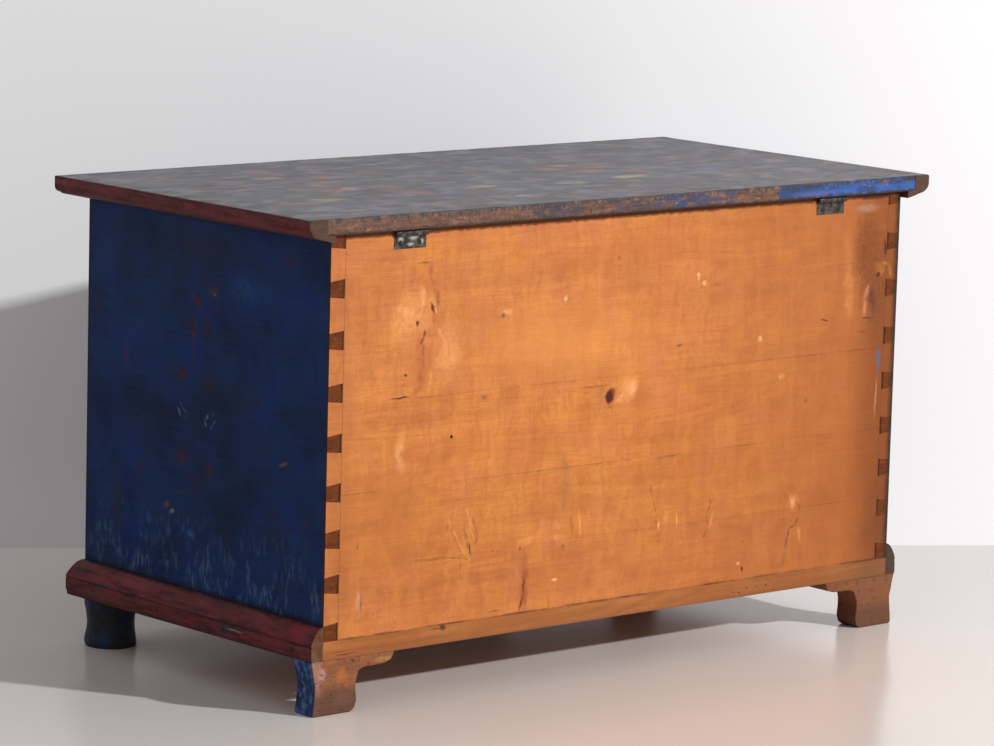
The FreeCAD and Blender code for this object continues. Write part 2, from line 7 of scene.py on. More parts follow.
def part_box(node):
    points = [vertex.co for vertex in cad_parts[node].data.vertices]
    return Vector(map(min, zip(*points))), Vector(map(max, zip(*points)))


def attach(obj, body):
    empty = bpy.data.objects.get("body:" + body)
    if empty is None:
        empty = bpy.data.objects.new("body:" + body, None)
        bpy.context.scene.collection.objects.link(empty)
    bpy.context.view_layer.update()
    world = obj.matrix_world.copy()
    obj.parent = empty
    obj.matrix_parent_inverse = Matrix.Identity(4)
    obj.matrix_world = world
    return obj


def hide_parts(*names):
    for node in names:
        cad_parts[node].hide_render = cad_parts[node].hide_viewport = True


# An old painted pine chest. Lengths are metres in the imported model's frame: the front with the lock
# faces -Y, the bare back faces +Y, the painted end in view faces +X, and the floor is z = 0.
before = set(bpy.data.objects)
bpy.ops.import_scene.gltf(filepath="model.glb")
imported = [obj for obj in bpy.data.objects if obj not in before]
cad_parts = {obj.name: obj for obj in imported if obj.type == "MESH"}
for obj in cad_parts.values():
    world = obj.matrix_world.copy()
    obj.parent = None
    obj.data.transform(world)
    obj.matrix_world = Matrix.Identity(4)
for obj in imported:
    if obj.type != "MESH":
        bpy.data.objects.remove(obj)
bpy.ops.object.select_all(action="DESELECT")
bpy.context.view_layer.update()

MM = 0.001
FAR = 1e6  # a pattern's size in millimetres along an axis on which it doesn't change

wall_low, wall_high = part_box("back_plank_1")
HALF = wall_high.x
BACK = wall_high.y
BACK_INNER = wall_low.y
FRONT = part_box("front_plank_1")[0].y
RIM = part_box("back_plank_4")[1].z
INNER_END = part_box("right_end_plank_1")[0].x
WORN_CORNER = HALF - 7.5 * MM


# Shaping tools: a block is started from a cube and left open in edit mode until close()
def only(axis, value):
    """Vector with one coordinate along axis number axis."""
    return Vector([value if n == axis else 0.0 for n in range(3)])


def block(name, low, high):
    """Starts a piece from a cube at its size and place."""
    low, high = Vector(low), Vector(high)
    bpy.ops.mesh.primitive_cube_add(size=1, location=(low + high) / 2)
    piece = bpy.context.object
    piece.name = piece.data.name = name
    piece.scale = high - low
    bpy.ops.object.transform_apply(location=True, rotation=True, scale=True)
    bpy.ops.object.mode_set(mode="EDIT")
    return piece


def pick(piece, kind, test):
    """Selects the points, edges or faces whose middle passes the test, and nothing else."""
    bpy.ops.mesh.select_mode(type=kind)
    bpy.ops.mesh.select_all(action="DESELECT")
    mesh = bmesh.from_edit_mesh(piece.data)
    parts = {"VERT": mesh.verts, "EDGE": mesh.edges, "FACE": mesh.faces}[kind]
    for part in parts:
        if kind == "VERT":
            chosen = test(part.co)
        else:
            chosen = test(sum((v.co for v in part.verts), Vector()) / len(part.verts), part)
        part.select_set(bool(chosen))
    mesh.select_flush_mode()
    bmesh.update_edit_mesh(piece.data)


def saw(place, across, keep_below=None):
    """Cuts the whole piece by a plane. With keep_below, what lies beyond it is taken away."""
    bpy.ops.mesh.select_all(action="SELECT")
    away = keep_below is not None
    bpy.ops.mesh.bisect(plane_co=place, plane_no=across, use_fill=away, clear_outer=away)


def near(a, b, slack=0.2 * MM):
    return abs(a - b) < slack


def at(place, spot):
    """True for a place with the coordinates that spot gives by axis number."""
    return all(near(place[axis], value) for axis, value in spot.items())


def shift(piece, spot, axis, distance):
    """Moves the points at a spot along an axis."""
    pick(piece, "VERT", lambda place: at(place, spot))
    bpy.ops.transform.translate(value=only(axis, distance))


def pull(axis, distance):
    """Draws what is selected out along an axis, with new sides behind it."""
    bpy.ops.mesh.extrude_region_move(TRANSFORM_OT_translate={"value": only(axis, distance)})


def lies_along(edge, axis):
    """True for an edge that runs along the axis."""
    run = edge.verts[1].co - edge.verts[0].co
    return abs(run[axis]) > 0.95 * run.length


def ease(piece, width, segments, test):
    """Rounds the edges that pass the test. Width is in millimetres."""
    pick(piece, "EDGE", test)
    bpy.ops.mesh.bevel(offset=width * MM, segments=segments, affect="EDGES")


def split_along(piece, axis, count):
    """Divides every edge that runs along the axis, so that the piece can be worn unevenly."""
    pick(piece, "EDGE", lambda mid, edge: lies_along(edge, axis))
    bpy.ops.mesh.subdivide(number_cuts=count, quadcorner="INNERVERT")


def close():
    bpy.ops.mesh.select_all(action="SELECT")
    bpy.ops.mesh.normals_make_consistent(inside=False)
    bpy.ops.object.mode_set(mode="OBJECT")


def dress(piece, body, finish, nodes, angle=35):
    """Gives a finished piece its material, and seats it on its body in place of CAD nodes."""
    piece.data.materials.clear()
    piece.data.materials.append(finish)
    bpy.ops.object.select_all(action="DESELECT")
    piece.select_set(True)
    bpy.context.view_layer.objects.active = piece
    bpy.ops.object.shade_smooth_by_angle(angle=math.radians(angle))
    bpy.ops.object.modifier_add(type="WEIGHTED_NORMAL")
    piece.modifiers[-1].keep_sharp = True
    bpy.ops.object.modifier_apply(modifier=piece.modifiers[-1].name)
    piece.select_set(False)
    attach(piece, body)
    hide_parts(*nodes)


def wear(piece, push):
    """Moves every point by what push gives for its place, as years of use do."""
    for point in piece.data.vertices:
        point.co += push(point.co)


def rough(place, size, seed):
    """Uneven value from -1 to 1 that changes over about size metres."""
    return noise.noise(place / size + Vector((seed, seed * 0.7, seed * 1.3)))


def bumps(place, size, seed, level):
    """Scattered bumps: only what rises over a level of the uneven value."""
    return max(0.0, rough(place, size, seed) - level)


# Node tools
def linear(code):
    """Linear colour of an sRGB hex value."""
    parts = [int(code[n:n + 2], 16) / 255 for n in (1, 3, 5)]
    return [c / 12.92 if c <= 0.04045 else ((c + 0.055) / 1.055) ** 2.4 for c in parts] + [1.0]


def add(kind, inputs, out=0, tree=None, **settings):
    """Adds one node beside those that it is linked to, with its settings, values and links, and
    gives its output number out. A text value is a hex colour."""
    linked = {socket: value for socket, value in inputs.items() if isinstance(value, bpy.types.NodeSocket)}
    tree = tree or next(iter(linked.values())).id_data
    made = tree.nodes.new("ShaderNode" + kind)
    for name, value in settings.items():
        setattr(made, name, value)
    for socket, value in inputs.items():
        if socket in linked:
            tree.links.new(value, made.inputs[socket])
        else:
            made.inputs[socket].default_value = linear(value) if isinstance(value, str) else value
    return made.outputs[out]


def cloud(where, cell, seed, low=0.4, high=0.6, strength=1.0, detail=4.0):
    """Soft patches about cell millimetres across along X, Y and Z, from 0 to strength."""
    fitted = add("Mapping", {"Vector": where, "Location": (seed, seed * 1.7, seed * 0.6),
                             "Scale": [1000 / size for size in cell]})
    puffs = add("TexNoise", {"Vector": fitted, "Scale": 1.0, "Detail": detail, "Roughness": 0.6})
    return add("MapRange", {"Value": puffs, "From Min": low, "From Max": high, "To Max": strength})


def oval(where, place, size, turn=0.0, strength=1.0, soft=0.6):
    """Patch that is full inside an oval and fades out at its rim. Place and size are millimetres
    along X and Z, and it goes through the board along Y."""
    fitted = add("Mapping", {"Vector": where, "Location": (place[0] * MM, 0, place[1] * MM),
                             "Rotation": (0, math.radians(turn), 0),
                             "Scale": (size[0] * MM, FAR, size[1] * MM)}, vector_type="TEXTURE")
    ball = add("TexGradient", {"Vector": fitted}, "Fac", gradient_type="SPHERICAL")
    return add("MapRange", {"Value": ball, "From Max": soft, "To Max": strength},
               interpolation_type="SMOOTHSTEP")


def spots(where, rows, through=None):
    """Ovals with their colours, all thinned by a mask where one is given."""
    for x, z, wide, tall, turn, colour, strength, soft in rows:
        shape = oval(where, (x, z), (wide, tall), turn, strength, soft)
        yield times(shape, through) if through else shape, colour


def shaken(where, cell, reach):
    """The same places pushed about by up to reach millimetres, so that drawn rims look natural."""
    fitted = add("Mapping", {"Vector": where, "Scale": (1000 / cell,) * 3})
    puffs = add("TexNoise", {"Vector": fitted, "Scale": 1.0, "Detail": 3.0}, "Color")
    push = add("VectorMath", {0: puffs, 1: (0.5, 0.5, 0.5)}, operation="SUBTRACT")
    return add("VectorMath", {0: push, 1: (3 * reach * MM,) * 3, 2: where}, operation="MULTIPLY_ADD")


def coats(ground, layers):
    """Lays colours over a ground, each through its own mask."""
    for mask, colour in layers:
        ground = add("Mix", {0: mask, 6: ground, 7: colour}, 2, data_type="RGBA")
    return ground


def times(first, second):
    return add("Math", {0: first, 1: second}, operation="MULTIPLY")


def total(values):
    """Sum of values, each with its weight."""
    result = 0.0
    for value, weight in values:
        result = add("Math", {0: value, 1: weight, 2: result}, operation="MULTIPLY_ADD")
    return result


def beyond(where, axis, plane, sign=1, fade=0.4):
    """1 where the place lies past a plane along an axis, and 0 before it. Fade is in millimetres."""
    half = fade * MM * sign / 2
    return add("MapRange", {"Value": add("SeparateXYZ", {0: where}, axis), "From Min": plane - half,
                            "From Max": plane + half})


def both_ends(where, distance, fade=0.4):
    """1 past a distance from the chest's middle towards either end."""
    return add("Math", {0: beyond(where, 0, distance, 1, fade),
                        1: beyond(where, 0, -distance, -1, fade)}, operation="MAXIMUM")


def line(value, place, wide, core, strength=1.0):
    """Thin line where a value is at place. Its half widths, outside and full, are in millimetres."""
    away = add("Math", {0: value, 1: place}, operation="SUBTRACT")
    away = add("Math", {0: away}, operation="ABSOLUTE")
    return add("MapRange", {"Value": away, "From Min": wide * MM, "From Max": core * MM, "To Max": strength})


def broken_seam(where, height, sign, fade):
    """Dark edge of a joint that has opened in places."""
    return times(beyond(where, 2, height, sign, fade), cloud(where, (60, 60, 400), 21.5, 0.38, 0.6, 0.85))


def over(mask, under, top):
    """Puts one finish over another through a mask. A finish is its colour, roughness and height."""
    return (add("Mix", {0: mask, 6: under[0], 7: top[0]}, 2, data_type="RGBA"),
            add("Mix", {0: mask, 2: under[1], 3: top[1]}),
            add("Mix", {0: mask, 2: under[2], 3: top[2]}))


def tinted(finish, layers):
    """A finish with more colours laid over its own."""
    return coats(finish[0], layers), finish[1], finish[2]


def new_material(name):
    """A new material, and the places on an object that its patterns follow."""
    material = bpy.data.materials.new(name)
    material.use_nodes = True
    return material, add("TexCoord", {}, "Object", material.node_tree)


def seal(material, finish, depth=0.35, metallic=0.0, shine=0.5):
    """Sends a finish to the shader. Depth is the relief's height in millimetres."""
    colour, roughness, height = finish
    bump = add("Bump", {"Strength": 1.0, "Distance": depth * MM, "Height": height})
    tree = material.node_tree
    shader = tree.nodes["Principled BSDF"]
    for socket, value in (("Base Color", colour), ("Roughness", roughness), ("Normal", bump)):
        tree.links.new(value, shader.inputs[socket])
    shader.inputs["Metallic"].default_value = metallic
    shader.inputs["Specular IOR Level"].default_value = shine
    return material


def along(grain, long_cell, short_cell):
    """Pattern size for fibres that run along axis number grain."""
    return [long_cell if axis == grain else short_cell for axis in range(3)]


# Pine, planed by hand: fibres 2 to 3 mm wide and growth rings 8 to 15 mm apart run along the board
def pine(where, grain, tones, seed, marks=(), gloss=0.46, rings=0.34, knots=()):
    """Knots are masks with the number of rings that bend round each."""
    main, light, dark = tones
    slow = add("Mapping", {"Vector": where, "Location": (seed, seed, seed),
                           "Scale": [1000 / size for size in along(grain, 900, 75)]})
    curve = add("TexNoise", {"Vector": slow, "Scale": 1.0, "Detail": 1.5})
    turns = total([(curve, 110.0)] + [(mask, count * 2 * math.pi) for mask, count in knots])
    ripple = add("Math", {0: turns}, operation="SINE")
    faint = cloud(where, along(grain, 260, 60), seed + 1, 0.4, 0.6, rings, 2.0)
    late = add("MapRange", {"Value": ripple, "From Min": 0.1, "To Max": faint})
    fibre = cloud(where, along(grain, 110, 2.0), seed + 3, 0.4, 0.68, 0.22, 3.0)
    streak = cloud(where, along(grain, 380, 16), seed + 5, 0.42, 0.64, 0.34, 3.0)
    patch = cloud(where, (150, 150, 90), seed + 7, 0.4, 0.62, 0.9)
    fleck = cloud(where, along(grain, 8, 2.6), seed + 9, 0.66, 0.72, 0.45, 2.0)
    colour = coats(main, [(patch, light), (streak, dark), (late, dark), (fibre, dark), (fleck, dark)])
    roughness = add("MapRange", {"Value": fibre, "From Max": 0.22, "To Min": gloss, "To Max": gloss + 0.12})
    return coats(colour, marks), roughness, total([(fibre, -1.8), (late, -0.6), (patch, 0.4)])


RAW_TONES = ("#A97848", "#B98A58", "#8A5C34")


def raw_pine(where, grain, seed, tones=RAW_TONES):
    """Unfinished inner wood, matt and dusty."""
    dust = cloud(where, (70, 70, 70), seed + 11, 0.5, 0.7, 0.5)
    return pine(where, grain, tones, seed, [(dust, "#7A5B3E")], gloss=0.66, rings=0.22)


def end_grain(where, seed, tone="#64300E"):
    """Sawn and darkened ends of boards, where fine rings show edge on."""
    ring = cloud(where, (16, 16, 1.8), seed, 0.35, 0.62, 0.55)
    patch = cloud(where, (9, 9, 9), seed + 2, 0.42, 0.62, 0.75)
    pale = cloud(where, (14, 14, 5), seed + 4, 0.6, 0.7, 0.5)
    colour = coats(tone, [(patch, "#42200C"), (ring, "#743A12"), (pale, "#84501F")])
    return colour, total([(ring, 0.2), (patch, 0.1), (0.5, 1.0)]), total([(ring, 1.0), (patch, -1.0)])


# Oil paint on pine, worn by a century of use: uneven coats, rubbed places and small chips
def blue_paint(where, seed, extra=()):
    drift = cloud(where, (130, 130, 150), seed, 0.38, 0.64, 0.9)
    shade = cloud(where, (90, 90, 100), seed + 2, 0.45, 0.66, 0.6)
    deep = cloud(where, (70, 70, 90), seed + 12, 0.5, 0.66, 0.7)
    stroke = cloud(where, (90, 90, 3.2), seed + 4, 0.42, 0.66, 0.25)
    rust = cloud(where, (60, 60, 45), seed + 6, 0.58, 0.74, 0.5)
    chip = cloud(where, (7, 7, 9), seed + 8, 0.7, 0.74, 0.6, 5.0)
    spark = cloud(where, (10, 10, 16), seed + 10, 0.68, 0.76, 0.4, 5.0)
    colour = coats("#102F62", [
        (drift, "#0D2549"), (deep, "#0F276A"), (shade, "#131D36"), (stroke, "#173B72"),
        (rust, "#30222C"), (chip, "#23242A"), (spark, "#2A5292"), *extra])
    roughness = total([(shade, 0.12), (stroke, -0.15), (chip, 0.2), (0.5, 1.0)])
    return colour, roughness, total([(stroke, 0.9), (chip, -1.6), (drift, 0.5)])


def red_paint(where, seed):
    drift = cloud(where, (16, 120, 16), seed, 0.38, 0.62, 0.9)
    shade = cloud(where, (7, 60, 7), seed + 2, 0.46, 0.62, 0.85)
    lift = cloud(where, (7, 40, 7), seed + 4, 0.55, 0.68, 0.7)
    bare = cloud(where, (6, 34, 6), seed + 6, 0.62, 0.7, 0.7)
    chip = cloud(where, (3.4, 16, 3.4), seed + 8, 0.66, 0.71, 0.8, 5.0)
    pale = cloud(where, (3, 26, 3), seed + 10, 0.69, 0.74, 0.6, 5.0)
    colour = coats("#682024", [(drift, "#4E181D"), (shade, "#34171A"), (lift, "#88252F"),
                               (bare, "#5C3827"), (chip, "#1E1618"), (pale, "#7A5A5E")])
    roughness = total([(shade, 0.15), (chip, 0.2), (0.48, 1.0)])
    return colour, roughness, total([(lift, 0.8), (bare, -1.0), (chip, -1.5), (drift, 0.4)])


# Faded roses, tulips and leaves on the lid: X and Y, half sizes, turn and colour
LID_FLOWERS = [
    (288, -28, 34, 27, 0, "#A0583C"), (252, 70, 30, 24, 0, "#8E4A3E"), (248, 116, 34, 26, 12, "#93535A"),
    (336, 50, 28, 24, 0, "#9A5A40"), (300, 40, 15, 14, 0, "#B09468"), (409, 128, 38, 22, 10, "#AE966E"),
    (385, 60, 34, 11, -34, "#44584E"), (350, 112, 36, 11, 28, "#3F5656"), (210, 20, 30, 10, 40, "#46584C"),
    (206, 150, 32, 14, -10, "#3E5894"), (180, 70, 26, 18, 0, "#3A5288"), (400, -30, 26, 17, 30, "#3C5286"),
    (240, -90, 34, 22, -20, "#8C4C40"), (330, -110, 30, 18, 20, "#A48C60"),
    (290, -165, 28, 24, 0, "#914E3E"), (112, 104, 36, 18, 8, "#94906A"), (136, 214, 16, 10, 0, "#A8A6A4"),
    (60, 40, 36, 12, -24, "#455A50"), (40, 160, 30, 14, 10, "#4A6296"), (-30, 130, 34, 18, -8, "#9A8E74"),
    (-82, 105, 36, 18, 6, "#3E5690"), (-155, 109, 42, 20, -6, "#A69C82"), (-150, 30, 32, 26, 0, "#94513C"),
    (-205, 62, 28, 22, 0, "#8E4B44"), (-110, -12, 28, 22, 0, "#A05E40"), (-152, -40, 15, 14, 0, "#B0966A"),
    (-200, -30, 30, 24, 0, "#914A3A"), (-250, 120, 36, 14, 20, "#3E6266"),
    (-270, 10, 34, 11, -30, "#42584E"), (-60, 60, 34, 11, 36, "#42606A"),
    (-180, -110, 34, 12, 0, "#44584C"), (-120, -120, 26, 18, 20, "#3C5288"),
    (-240, -130, 30, 22, 0, "#8E4C3E"), (-330, 90, 34, 18, -10, "#46609A"),
    (-300, 170, 30, 14, 0, "#9C9278"), (0, -20, 18, 60, 0, "#434E48"),
]


def lid_paint(where, seed):
    """Blue lid paint rubbed thin along the boards, with faded dabs of painted flowers."""
    drift = cloud(where, (260, 120, 60), seed, 0.38, 0.64, 0.9)
    rubbed = cloud(where, (170, 9, 30), seed + 2, 0.42, 0.66, 0.55)
    bare = cloud(where, (70, 11, 30), seed + 4, 0.6, 0.72, 0.55)
    scratch = cloud(where, (120, 1.6, 30), seed + 6, 0.66, 0.74, 0.45)
    tint = cloud(where, (120, 40, 60), seed + 1, 0.46, 0.62, 0.7)
    brown = cloud(where, (110, 26, 60), seed + 12, 0.5, 0.66, 0.6)
    light = cloud(where, (46, 30, 30), seed + 14, 0.5, 0.62, 0.8, 5.0)
    dark = cloud(where, (62, 36, 30), seed + 16, 0.5, 0.62, 0.8, 5.0)
    violet = cloud(where, (60, 44, 30), seed + 18, 0.52, 0.64, 0.7, 4.0)
    tan = cloud(where, (44, 34, 30), seed + 20, 0.55, 0.66, 0.7, 4.0)
    flat = add("Mapping", {"Vector": shaken(where, 26, 9), "Rotation": (math.radians(90), 0, 0)})
    faded = times(cloud(where, (60, 14, 30), seed + 8, 0.34, 0.56, 1.0, 5.0),
                  cloud(where, (26, 5, 30), seed + 10, 0.3, 0.5, 1.0, 5.0))
    colour = coats("#3C3B40", [
        (drift, "#323440"), (tint, "#343A52"), (brown, "#4C4240"), (rubbed, "#57524E"), (bare, "#5A483E"),
        (dark, "#26262E"), (violet, "#4C4E66"), (tan, "#66543F"), (light, "#706E74"), (scratch, "#84807A"),
        *spots(flat, [(*flower, 0.95, 0.65) for flower in LID_FLOWERS], faded)])
    roughness = total([(rubbed, 0.14), (bare, 0.2), (0.4, 1.0)])
    return colour, roughness, total([(rubbed, -0.5), (bare, -0.9), (scratch, -0.8)])


def wall_wear(where):
    """What years of use do to the painted walls: dark corners and rub marks, with painted shade in the
    crease over the plinth.
    """
    loose = shaken(where, 16, 3)
    back_corner = beyond(loose, 1, BACK - 4 * MM, 1, 4)
    front_corner = times(beyond(loose, 1, FRONT + 5 * MM, -1, 5), beyond(where, 0, HALF - 4 * MM, 1))
    # Painted shade: a dark band along the crease where the wall meets the plinth.
    foot = beyond(loose, 2, 126 * MM, -1, 7)
    rub = times(cloud(where, (7, 7, 22), 31.3, 0.46, 0.62, 0.8, 5.0),
                cloud(where, (30, 30, 40), 33.3, 0.44, 0.62))
    rub = times(rub, beyond(where, 2, 180 * MM, -1, 120))
    return [(rub, "#527092"), (times(foot, 0.75), "#15161E"),
            (times(front_corner, 0.7), "#202228"), (times(back_corner, 0.85), "#3A2024")]


# Marks on the back in millimetres: X and Z, half width and half height, turn in degrees, colour,
# strength and softness. A knot is several of them, its wide halo first.
BACK_MARKS = [
    # broad changes of tone; the darker ones at the far end are partly painted shade where the light falls
    # off, and the dark band at the top of the far corner is a painted shadow under the lid
    (-490, 330, 60, 330, 0, "#8A4A24", 0.6, 1.0), (-400, 190, 130, 90, 0, "#985228", 0.45, 1.0),
    (120, 470, 260, 80, 0, "#D88C48", 0.5, 1.0), (420, 250, 120, 150, 0, "#AC6436", 0.4, 1.0),
    (60, 150, 240, 60, 0, "#AC6236", 0.35, 1.0), (-30, 590, 300, 40, 0, "#B46834", 0.4, 1.0),
    (160, 330, 130, 40, 0, "#AA6232", 0.3, 1.0), (-530, 330, 100, 420, 0, "#7E421F", 0.6, 1.0),
    (505, 330, 40, 420, 0, "#A05E36", 0.45, 1.0), (388, 520, 56, 50, 0, "#EAA466", 0.6, 1.0),
    (326, 470, 32, 62, 0, "#E8A465", 0.55, 1.0), (374, 468, 15, 60, 4, "#A85A34", 0.6, 1.0),
    (176, 145, 13, 50, 2, "#8E4E2A", 0.65, 0.95), (-456, 560, 32, 76, 0, "#6E3A1E", 0.85, 1.0),
    (-476, 486, 24, 58, 0, "#64382C", 0.8, 1.0), (-478, 636, 58, 8, 0, "#2A1814", 0.95, 0.7),
    (-505, 160, 60, 110, 0, "#6A3A20", 0.6, 1.0),
    # knots, dents, specks and the stained far corner
    (-4, 389, 30, 25, 0, "#EAA468", 0.7, 1.0), (-14, 394, 13, 15, 0, "#F4B07A", 0.55, 0.95),
    (8, 378, 16, 10, 20, "#EEA870", 0.45, 0.95), (4, 392, 6, 14, 10, "#C08048", 0.55, 0.8),
    (49, 391, 10, 20, 0, "#9A6A3C", 0.7, 0.8), (20, 386, 10, 17, 0, "#A8683C", 0.5, 0.9),
    (30, 385, 11.5, 16, 0, "#7A3822", 1.0, 0.45), (31, 385, 8, 12, 0, "#4A1C18", 1.0, 0.6),
    (30, 372, 10, 4, 0, "#8A4C22", 0.6, 0.8), (60, 402, 40, 1.5, -1, "#7A4424", 0.7, 0.7),
    (376, 513, 4, 4.5, 0, "#5E3018", 0.95, 0.6), (388, 510, 8, 2.5, 0, "#B87A4A", 0.6, 0.8),
    (394, 445, 4, 3, 0, "#63321A", 0.95, 0.6), (396, 432, 4, 2, 15, "#83502A", 0.7, 0.6),
    (403, 415.5, 21, 1.8, 0, "#57301A", 0.95, 0.6), (367, 593, 16, 1.8, 0, "#7E4626", 0.85, 0.7),
    (412, 596, 24, 1.2, 0, "#96562E", 0.6, 0.8), (257, 404, 7, 5, 0, "#6A3A20", 0.85, 0.6),
    (254, 403, 16, 9, 0, "#B06A3A", 0.5, 0.9), (221, 513, 11, 9, 0, "#E4A266", 0.6, 0.9),
    (227.5, 512, 5, 5, 20, "#7A4424", 0.8, 0.6), (115.5, 528, 5, 6, 0, "#F2B884", 0.8, 0.7),
    (111, 526, 5, 6, 0, "#9A5C34", 0.6, 0.7), (19.5, 577, 4, 4, 0, "#8A5028", 0.7, 0.7),
    (-129.5, 541, 4, 8, 0, "#F5C48C", 0.85, 0.7), (-141, 531, 6, 5, 0, "#F2B880", 0.75, 0.7),
    (-136, 538, 20, 7, 0, "#9A5C34", 0.35, 0.9), (-165, 527, 12, 4, 0, "#8A5530", 0.5, 0.8),
    (-252, 444, 5, 6, 0, "#EFB680", 0.7, 0.7), (-379, 461.5, 9, 2, -12, "#54301C", 0.95, 0.6),
    (-97.5, 447, 8, 2.4, 12, "#6A3C24", 0.85, 0.6), (-290.5, 385.5, 4, 5, 0, "#7A4424", 0.85, 0.6),
    (-296, 386, 12, 6, 0, "#E8AA6C", 0.5, 0.9), (-348, 347, 5, 5, 0, "#7E4A28", 0.75, 0.7),
    (-99, 577.5, 38, 1.6, 0, "#8A5230", 0.65, 0.8), (-60, 536, 60, 3, 2, "#A8683A", 0.4, 0.9),
    (399, 340, 9, 42, 1, "#E0A468", 0.65, 0.95), (313, 355.5, 2.8, 3.2, 0, "#2A140C", 1.0, 0.5),
    (470, 222, 3, 8, -15, "#8A5230", 0.75, 0.7), (186, 189, 4.5, 5, 0, "#6E4024", 0.85, 0.7),
    (108, 183, 4, 5, 0, "#6E3E24", 0.85, 0.7), (235, 191, 3, 2.4, 0, "#7C4828", 0.7, 0.7),
    (170, 200, 36, 9, 0, "#E29A60", 0.45, 0.95), (120, 196, 16, 11, 0, "#E8A468", 0.45, 0.95),
    (461.5, 146, 1.8, 20, 0, "#4E4A6A", 0.8, 0.6), (468, 150, 5, 18, 0, "#D8A08A", 0.5, 0.9),
    (229, 108, 15, 1.8, 3, "#7A3C26", 0.8, 0.7), (121, 139, 7.5, 2.4, 0, "#F8BE96", 0.85, 0.6),
    (-85, 292, 46, 2.4, 1, "#74492C", 0.65, 0.8), (-68, 195, 4, 5, 0, "#F0B078", 0.7, 0.8),
    (-80, 205, 9, 14, 0, "#D8904E", 0.5, 0.95), (-93, 163, 2.7, 2.2, 0, "#7E4A2A", 0.7, 0.7),
    (-157, 170, 4, 3, 0, "#7E4A2A", 0.75, 0.7), (-233, 154, 2.8, 3, 0, "#7A4426", 0.8, 0.7),
    (-233, 115, 3, 5.5, 0, "#54281A", 0.95, 0.6), (-225, 124, 6, 4, 0, "#F0B484", 0.6, 0.8),
    (-331, 202, 14, 17, 0, "#D6905A", 0.7, 0.95), (-468, 548, 42, 90, 2, "#6E3C1E", 0.85, 1.0),
    (-488, 470, 30, 90, 0, "#744222", 0.75, 1.0), (-456, 618, 32, 8, 0, "#A47A66", 0.8, 0.7),
    (-420, 560, 16, 52, 0, "#C47E46", 0.4, 1.0), (-489, 530, 15, 15, 0, "#B0703A", 0.7, 0.9),
    (-485, 520, 5, 5, 0, "#502C16", 0.95, 0.6), (-490, 590, 14, 12, 0, "#A05C2A", 0.6, 0.9),
    (-491, 396, 5, 23, 1, "#4A6078", 0.85, 0.6), (-490, 402, 3.4, 12, 0, "#365A96", 0.7, 0.7),
    (-470, 403, 22, 1.3, 0, "#7A4628", 0.6, 0.7),
]
